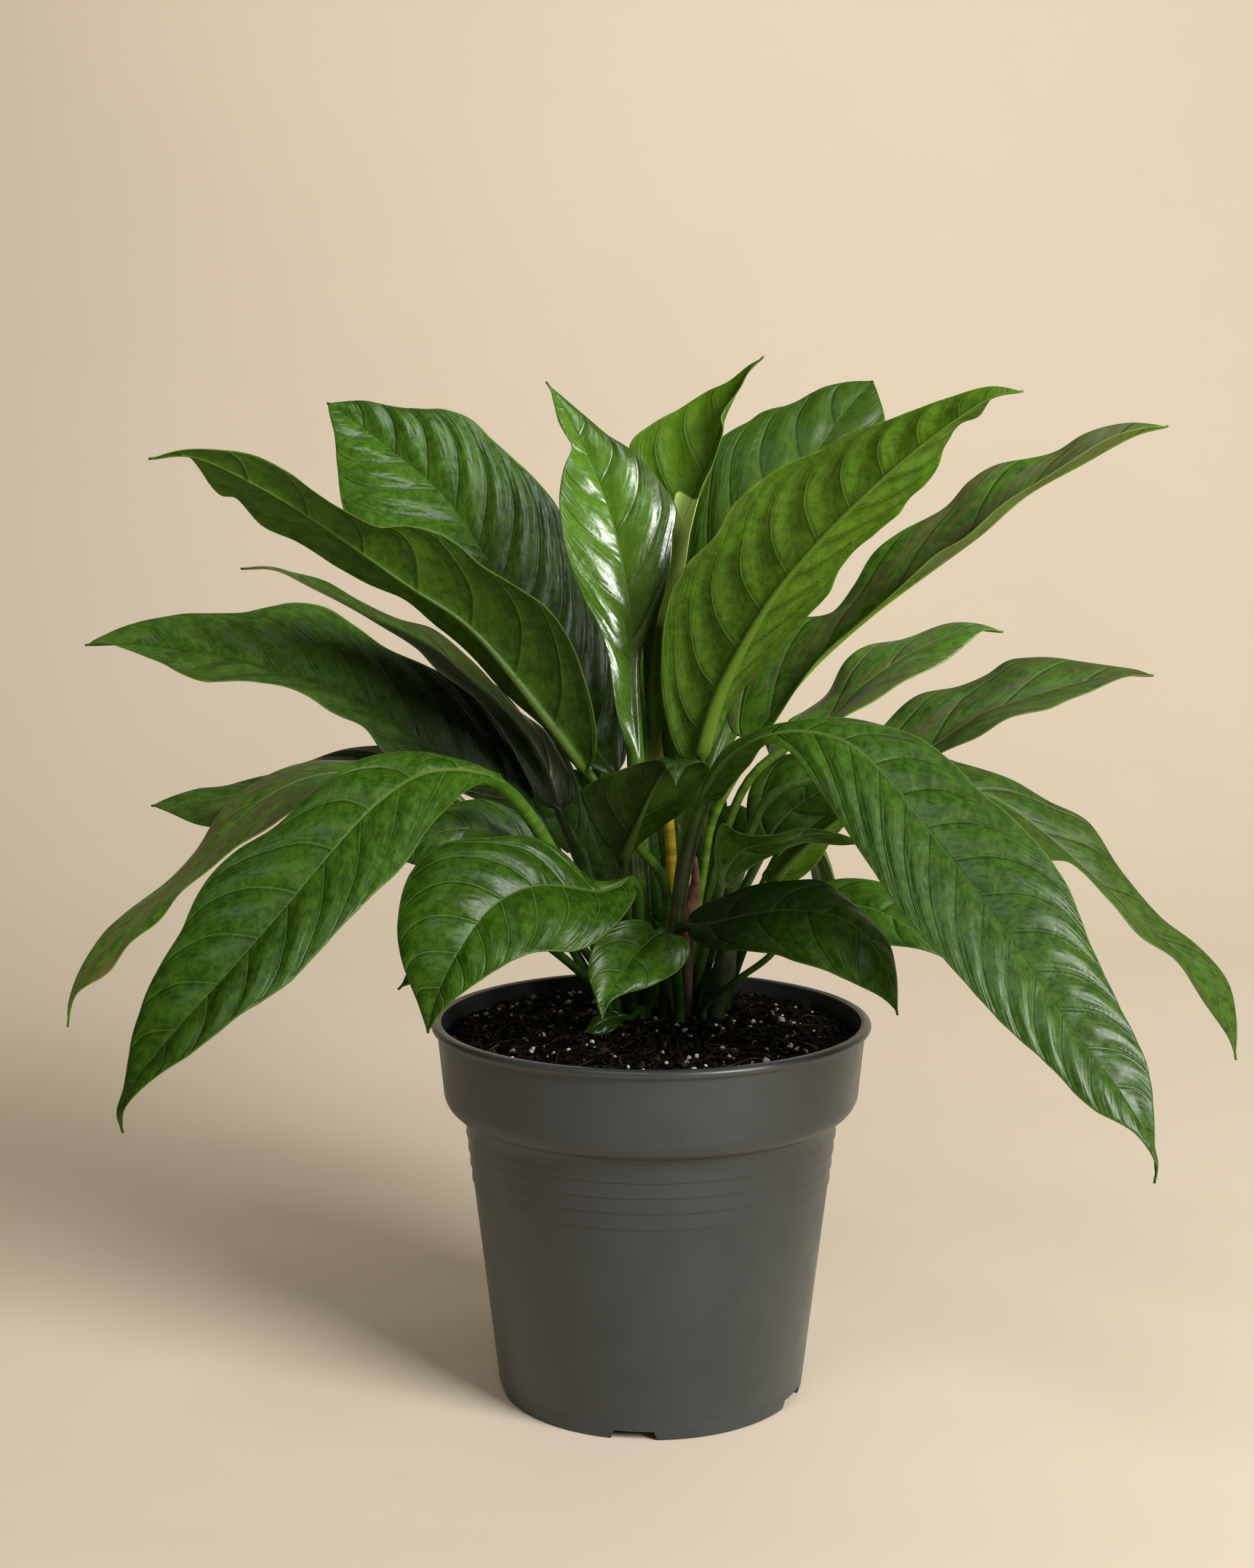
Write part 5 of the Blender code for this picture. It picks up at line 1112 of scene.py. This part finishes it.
def toned_paint(name, colours, scale, rough, distance):
    """A paint for many small pieces: each piece keeps a tone that picks its colour."""
    paint, tree, shader = new_paint(name, LOOSE_SPECULAR)
    tone = reading(tree, "tone")[0]
    picked = ramp(tone, {k / (len(colours) - 1): colour for k, colour in enumerate(colours)})
    spot = source(tree, "ShaderNodeTexCoord", "Object")
    drift = grain(spot, scale, 3, 0.6)
    stained = mixed(eased(drift, 0.35, 0.7), *DRIFT_TONES)
    tree.links.new(mixed(1.0, picked, stained, "MULTIPLY"), shader.inputs["Base Color"])
    tree.links.new(eased(drift, 0.3, 0.7, rough - 0.1, rough + 0.1), shader.inputs["Roughness"])
    bumped(shader, drift, 0.7, distance)
    return paint


def spun(name, profile, sides):
    """An object that turns a profile of radius and height about the axis. The profile runs down its outer side."""
    mesh = bpy.data.meshes.new(name)
    mesh.from_pydata([(radius * MM, 0, height * MM) for radius, height in profile], [],
                     [(k, k + 1) for k in range(len(profile) - 1)])
    item = linked(name, mesh)
    screw = item.modifiers.new("turn", "SCREW")
    screw.steps = sides
    screw.render_steps = sides
    screw.use_merge_vertices = True
    screw.merge_threshold = 0.00002
    screw.use_smooth_shade = True
    return item


def linked(name, data):
    """An object that is in the scene."""
    item = bpy.data.objects.new(name, data)
    bpy.context.scene.collection.objects.link(item)
    return item


def baked(item, paint):
    """The object with its modifiers applied and its paint on."""
    graph = bpy.context.evaluated_depsgraph_get()
    mesh = bpy.data.meshes.new_from_object(item.evaluated_get(graph))
    item.modifiers.clear()
    item.data = mesh
    mesh.materials.clear()
    mesh.materials.append(paint)
    return item


def pot_inside(inset):
    """The profile of the pot's inside from its floor to its rim, drawn in by an inset."""
    shoulder = POT_HEIGHT - POT_COLLAR_DEPTH
    wall = POT_WALL + inset
    return [
        (POT_BASE_RADIUS - wall + 0.8, POT_FLOOR + inset),
        (POT_SHOULDER_RADIUS - wall, shoulder - POT_SHOULDER_DROP + 1.4),
        (POT_COLLAR_LOW_RADIUS - wall - 1.2, shoulder - 3.2),
        (POT_COLLAR_LOW_RADIUS - wall, shoulder + 0.6),
        (POT_RIM_RADIUS - POT_BEAD_PROUD - wall, POT_HEIGHT - 1.5),
    ]


def round_corner(centre, radius, start, stop, steps):
    """Points on an arc, with its angles in degrees."""
    turns = np.radians(np.linspace(start, stop, steps))
    return [(centre[0] + radius * math.cos(turn), centre[1] + radius * math.sin(turn)) for turn in turns]


def pot_object(paint):
    """The pot with its rolled rim, rounded collar, pressed rings, notched foot and drainage holes."""
    shoulder = POT_HEIGHT - POT_COLLAR_DEPTH
    collar = POT_RIM_RADIUS - POT_BEAD_PROUD
    foot = POT_BASE_RADIUS - FOOT_WIDTH
    lip = POT_BEAD / 2
    below_bead = POT_HEIGHT - POT_BEAD
    under_floor = POT_FLOOR - POT_FLOOR_THICK
    wall_top = shoulder - POT_SHOULDER_DROP
    slope = (POT_SHOULDER_RADIUS - POT_BASE_RADIUS) / (wall_top - POT_WALL_START)

    def wall(height):
        """The radius of the tapered wall at a height."""
        return POT_BASE_RADIUS + slope * (height - POT_WALL_START)

    outside = [(collar - POT_WALL + 0.2, POT_HEIGHT - 0.5), (collar - POT_WALL + 0.9, POT_HEIGHT)]
    outside += round_corner((POT_RIM_RADIUS - lip, POT_HEIGHT - lip), lip, 88, -60, 9)
    outside += [(collar + 0.3, below_bead - 0.1), (collar, below_bead - 0.5), (collar - 0.02, below_bead - 1.2)]
    for out, up in ((0.04, 1.6), (0, 0.6), (-0.35, -0.9), (-0.9, -2.3), (-1.6, -3.6), (-2.6, -4.8)):
        outside.append((POT_COLLAR_LOW_RADIUS + out, shoulder + up))
    outside.append((POT_SHOULDER_RADIUS + 4.2, shoulder - 6.6))
    for out, up in ((1.4, 0.6), (0.6, 0.3), (0.45, -0.3), (-0.1, -0.9)):
        outside.append((POT_SHOULDER_RADIUS + out, wall_top + up))
    for height in POT_RINGS:
        outside += [(wall(height + 3.0), height + 3.0), (wall(height) + POT_RING_PROUD, height + 0.8)]
        outside += [(wall(height) + POT_RING_PROUD - 0.1, height + 0.4), (wall(height) - 0.1, height)]
    outside += [(wall(POT_LINE + 0.5), POT_LINE + 0.5), (wall(POT_LINE) - 0.15, POT_LINE)]
    outside.append((wall(POT_LINE - 0.5), POT_LINE - 0.5))
    for out, height in ((0.05, 1.4), (-0.1, 0.8), (-0.35, 0.3), (-0.8, 0)):
        outside.append((POT_BASE_RADIUS + out, height))
    outside += [(foot, 0), (foot, under_floor), (0, under_floor)]
    pot = spun("pot_fine", [(0, POT_FLOOR), *pot_inside(0.0), *outside], POT_SIDES)
    cutters = [notches(), drain_holes()]
    for cutter in cutters:
        modifier = pot.modifiers.new(cutter.name, "BOOLEAN")
        modifier.operation = "DIFFERENCE"
        modifier.solver = "EXACT"
        modifier.object = cutter
    baked(pot, paint)
    for cutter in cutters:
        bpy.data.objects.remove(cutter)
    pot.data.set_sharp_from_angle(angle=math.radians(POT_SHARP_ANGLE))
    return pot


def drain_holes():
    """The rods that cut the drainage holes in the floor."""
    work = bmesh.new()
    for k in range(DRAIN_HOLES):
        turn = 2 * math.pi * k / DRAIN_HOLES
        x, y = DRAIN_HOLE_RING * math.cos(turn), DRAIN_HOLE_RING * math.sin(turn)
        place = Matrix.Translation((x * MM, y * MM, DRAIN_ROD_MIDDLE * MM))
        radius = DRAIN_HOLE_RADIUS * MM
        bmesh.ops.create_cone(work, cap_ends=True, segments=DRAIN_HOLE_SIDES, radius1=radius, radius2=radius,
                              depth=DRAIN_ROD * MM, matrix=place)
    return cutter_object("drain_holes", work)


def notches():
    """The bars that cut the notches in the foot, narrower at the top."""
    work = bmesh.new()
    for k in range(FOOT_NOTCHES):
        bar = bmesh.ops.create_cube(work, size=1)["verts"]
        spin = Matrix.Rotation(math.radians(FOOT_NOTCH_TURN) + 2 * math.pi * k / FOOT_NOTCHES, 4, "Z")
        for vertex in bar:
            high = vertex.co.z > 0
            vertex.co.x = (POT_BASE_RADIUS - NOTCH_BAR_IN + NOTCH_BAR * vertex.co.x) * MM
            vertex.co.y *= (FOOT_NOTCH_WIDTH - (FOOT_NOTCH_TAPER if high else 0)) * MM
            vertex.co.z = (FOOT_NOTCH_HEIGHT if high else -NOTCH_BAR_BELOW) * MM
        bmesh.ops.transform(work, matrix=spin, verts=bar)
    return cutter_object("foot_notches", work)


def cutter_object(name, work):
    """An object of the finished work, to cut with."""
    mesh = bpy.data.meshes.new(name)
    work.to_mesh(mesh)
    work.free()
    return linked(name, mesh)


def rough_height(x, y):
    """The lumpy top of the mix."""
    lump = noise.noise(Vector((x / SOIL_LUMP, y / SOIL_LUMP, 0.3)))
    fine = noise.noise(Vector((x / SOIL_FINE_LUMP, y / SOIL_FINE_LUMP, 4.1)))
    return soil_height(x, y) + SOIL_ROUGH * (lump + SOIL_FINE_SHARE * fine)


def soil_object(paint):
    """The mix with its lumpy top, a little clear of the pot."""
    wall = pot_inside(SOIL_CLEAR)
    low, high = wall[-2], wall[-1]
    edge = low[0] + (high[0] - low[0]) * (SOIL_TOP - low[1]) / (high[1] - low[1])
    profile = [(edge * ring / SOIL_RINGS, SOIL_TOP) for ring in range(SOIL_RINGS + 1)]
    soil = baked(spun("soil_fine", [*profile, *wall[-2::-1], (0, POT_FLOOR + SOIL_CLEAR)], SOIL_SIDES), paint)
    for vertex in soil.data.vertices:
        if vertex.co.z > (SOIL_TOP - 1) * MM:
            height = rough_height(vertex.co.x / MM, vertex.co.y / MM)
            vertex.co.z = min(height, POT_HEIGHT - SOIL_BELOW_RIM) * MM
    return soil


def scattered(name, shapes, tones, paint):
    """One mesh of many small closed shapes, each with a tone of its own."""
    points = np.vstack([shape for shape, _ in shapes])
    starts = np.cumsum([0] + [len(shape) for shape, _ in shapes])
    faces = np.vstack([shape_faces + start for (_, shape_faces), start in zip(shapes, starts)])
    points[:, :2] *= np.minimum(1, LOOSE_RADIUS / np.hypot(points[:, 0], points[:, 1]))[:, None]
    mesh = new_mesh(name, points, faces.tolist(), paint)
    tones = np.repeat(tones, np.diff(starts))
    keep(mesh, "tone", tones, tones, tones)
    return linked(name, mesh)


def ball(subdivisions):
    """The points and the faces of a ball with a radius of one."""
    work = bmesh.new()
    bmesh.ops.create_icosphere(work, subdivisions=subdivisions, radius=1)
    points = np.array([vertex.co for vertex in work.verts])
    faces = np.array([[vertex.index for vertex in face.verts] for face in work.faces])
    work.free()
    return points, faces


def lying(rng, inside):
    """A place on the mix and its height."""
    away = inside * math.sqrt(rng.uniform(0, 1))
    turn = rng.uniform(0, 2 * math.pi)
    x, y = away * math.cos(turn), away * math.sin(turn)
    return np.array([x, y, rough_height(x, y)])


def turning(rng, tilt):
    """A random heading with a random tilt and roll."""
    heading = Matrix.Rotation(rng.uniform(0, 2 * math.pi), 3, "Z")
    tilted = heading @ Matrix.Rotation(rng.normal(0, tilt), 3, "Y")
    return np.array(tilted @ Matrix.Rotation(rng.uniform(0, 6.3), 3, "X"))


def chips(paint):
    """Bark and coir chips, flat and long."""
    rng = np.random.default_rng(CHIPS_SEED)
    points, faces = ball(1)
    shapes, tones = [], []
    for _ in range(CHIPS):
        size = rng.gamma(2.2, 0.38) + 0.35
        scale = size * np.array([rng.uniform(1.0, 2.2), rng.uniform(0.4, 0.9), rng.uniform(0.2, 0.55)])
        shape = points * (1 + rng.uniform(-0.28, 0.28, (len(points), 1))) * scale
        place = lying(rng, CHIPS_RADIUS)
        shapes.append((shape @ turning(rng, 0.5).T + place + [0, 0, rng.uniform(-0.3, 0.9)], faces))
        tones.append(rng.beta(1.0, 2.8))
    return scattered("chips", shapes, tones, paint)


def fibres(paint):
    """Thin bent coir and root fibres."""
    rng = np.random.default_rng(FIBRES_SEED)
    shapes, tones = [], []
    faces = tube_quads(FIBRE_RINGS, 3)
    for _ in range(FIBRES):
        length = rng.gamma(2.2, 4.0) + 3
        width = rng.uniform(0.08, 0.2)
        place = lying(rng, FIBRES_RADIUS)
        heading = rng.uniform(0, 2 * math.pi)
        bend = rng.normal(0, 1.3)
        rise = rng.uniform(0.0, 0.5)
        line = []
        for share in np.linspace(0, 1, FIBRE_RINGS):
            turn = heading + bend * share
            line.append(place + [0, 0, 0.5 + length * 0.35 * rise * math.sin(math.pi * share)])
            place = place + np.array([math.cos(turn), math.sin(turn), 0]) * length / (FIBRE_RINGS - 1)
            away = math.hypot(place[0], place[1])
            if away > FIBRE_ENDS_RADIUS:
                place[:2] *= FIBRE_ENDS_RADIUS / away
            place[2] = rough_height(place[0], place[1])
        line = np.array(line)
        forward = unit(np.gradient(line, axis=0))
        side = unit(np.cross(forward, [0, 0, 1]))
        up = np.cross(side, forward)
        ring = [line + width * (math.cos(turn) * side + math.sin(turn) * up) for turn in (0, 2.1, 4.2)]
        shapes.append((np.stack(ring, axis=1).reshape(-1, 3), faces))
        tones.append(rng.beta(1.1, 2.2))
    return scattered("fibres", shapes, tones, paint)


def grains(paint):
    """White grains, rounded and pitted, half sunk in the mix."""
    rng = np.random.default_rng(GRAINS_SEED)
    points, faces = ball(2)
    shapes, tones = [], []
    for _ in range(GRAINS):
        size = rng.uniform(0.45, 1.1) + 0.8 * rng.uniform(0, 1) ** 3
        lumps = np.array([noise.noise(Vector(point * 1.7 + rng.uniform(0, 40))) for point in points])
        shape = points * (1 + 0.35 * lumps[:, None]) * size * rng.uniform(0.8, 1.15, 3)
        shapes.append((shape @ turning(rng, 1).T + lying(rng, GRAINS_RADIUS) + [0, 0, 0.35 * size], faces))
        tones.append(rng.uniform(0, 1))
    return scattered("grains", shapes, tones, paint)


def sheath_object(name, foot, sheath, paint):
    """A bare sheath, a closed furrowed tube whose width changes along it."""
    low, high = standing(foot)
    dense = smooth_curve([high, *sight(sheath["points"])])
    shares = np.linspace(0, 1, SHEATH_RINGS)
    line = np.vstack([low, spaced(dense, shares, 3)])
    radii = np.interp(shares, np.linspace(0, 1, len(sheath["radii"])), sheath["radii"])
    radii = np.concatenate([radii[:1], radii])
    forward = unit(np.gradient(line, axis=0))
    side = unit(np.cross(forward, [0, 1, 0]))
    front = np.cross(forward, side)
    turns = np.linspace(0, 2 * math.pi, SHEATH_SIDES, endpoint=False)
    furrow = 1 - SHEATH_FURROW * np.cos(turns * SHEATH_FURROWS) ** 6
    rings = [line + (radii * dent)[:, None] * (math.cos(turn) * side + math.sin(turn) * front)
             for turn, dent in zip(turns, furrow)]
    faces = tube_quads(len(line), SHEATH_SIDES).tolist() + tube_caps(len(line), SHEATH_SIDES)
    return smooth_object(name, new_mesh(name, np.stack(rings, axis=1), faces, paint))


def placed(item, slot, *nodes):
    """Lets a piece ride on the part and stand for its nodes."""
    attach(item, "root")
    if nodes:
        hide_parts(*nodes)


def camera():
    """The camera at the place of the eye."""
    lens = bpy.data.cameras.new("camera")
    lens.sensor_width = SENSOR
    lens.lens = SIGHT_FOCAL * SENSOR / (2 * SIGHT_ROW)
    item = linked("camera", lens)
    item.location = (SIGHT_SIDE * MM, -SIGHT_BACK * MM, SIGHT_HEIGHT * MM)
    item.rotation_euler = (math.pi / 2 - SIGHT_PITCH, 0, 0)
    bpy.context.scene.camera = item


def lamp(name, place, aim, size, power, colour):
    """A soft lamp that faces a point."""
    light = bpy.data.lights.new(name, "AREA")
    light.shape = "RECTANGLE"
    light.size, light.size_y = size
    light.energy = power
    light.color = colour
    item = linked(name, light)
    item.location = place
    item.rotation_euler = (Vector(aim) - Vector(place)).to_track_quat("-Z", "Y").to_euler()


def studio():
    """A plain pale sweep, a strong lamp to the right, a weak one in front, one that lights the sweep, and a weak
    warm light all round."""
    profile = [(SWEEP_FRONT, 0.0), (SWEEP_BACK - SWEEP_CURVE, 0.0)]
    for turn in np.linspace(0.1, math.pi / 2, SWEEP_STEPS):
        profile.append((SWEEP_BACK - SWEEP_CURVE * (1 - math.sin(turn)), SWEEP_CURVE * (1 - math.cos(turn))))
    profile.append((SWEEP_BACK, SWEEP_TOP))
    points = [(x, y, z) for y, z in profile for x in (-SWEEP_SIDE, SWEEP_SIDE)]
    mesh = bpy.data.meshes.new("sweep")
    mesh.from_pydata(points, [], [(2 * k, 2 * k + 1, 2 * k + 3, 2 * k + 2) for k in range(len(profile) - 1)])
    mesh.shade_smooth()
    mesh.materials.append(plain_paint("sweep", **PLAIN_PAINTS["sweep"]))
    floor = linked("sweep", mesh)
    for name, facts in LAMPS.items():
        lamp(name, *facts)
    world = bpy.data.worlds.new("world")
    world.use_nodes = True
    background = world.node_tree.nodes["Background"]
    background.inputs["Color"].default_value = WORLD_COLOUR
    background.inputs["Strength"].default_value = WORLD_STRENGTH
    bpy.context.scene.world = world
    bpy.context.scene.view_settings.view_transform = "Standard"


def place_leaf(name, foot, paints):
    """Makes one leaf and puts it in the scene. A hidden leaf takes its form from another one."""
    turn = TURNED.get(name)
    leaf = LEAVES[turn["like"] if turn else name]
    length = np.linalg.norm(np.diff(sight(leaf["rib"]), axis=0), axis=1).sum()
    rings = max(int(length / (HIDDEN_STEP if turn else RING_STEP)), FEWEST_RINGS)
    lines = blade_lines(leaf, np.linspace(0, 1, rings))
    if turn:
        leaf = {key: value for key, value in leaf.items() if key != "via"}
        lines = turned_lines(lines, turn)
    face = "leaf_glossy" if name in GLOSSY else "leaf_matt" if name in MATT else "leaf_upper"
    look = {**USUAL_LOOK, **LOOKS.get(name, {})}
    item = leaf_object(name + "_fine", lines, foot, leaf, look, (paints[face], paints["leaf_under"]))
    placed(item, SLOT_OF.get(name, "leaf_underside" if leaf.get("under") else "leaf_green"), name)


def main():
    """Builds the scene around the part."""
    camera()
    paints = {name: leaf_paint(name, specular) for name, specular in LEAF_PAINTS.items()}
    feet = spread_feet({**LEAVES, **TURNED, **SHEATHS})
    for name, foot in feet.items():
        if name in SHEATHS:
            slot = SHEATHS[name]["slot"]
            paint = plain_paint(slot, **PLAIN_PAINTS[slot])
            placed(sheath_object(name + "_fine", foot, SHEATHS[name], paint), slot, name)
        else:
            place_leaf(name, foot, paints)
    placed(pot_object(plain_paint("pot_plastic", **PLAIN_PAINTS["pot_plastic"])), "pot_plastic", "pot")
    placed(soil_object(plain_paint("mix", **PLAIN_PAINTS["mix"])), "potting_mix", "soil")
    for make, (name, facts) in zip((chips, fibres, grains), TONED_PAINTS.items()):
        placed(make(toned_paint(name, **facts)), "potting_mix")
    studio()
    bpy.context.view_layer.update()


main()
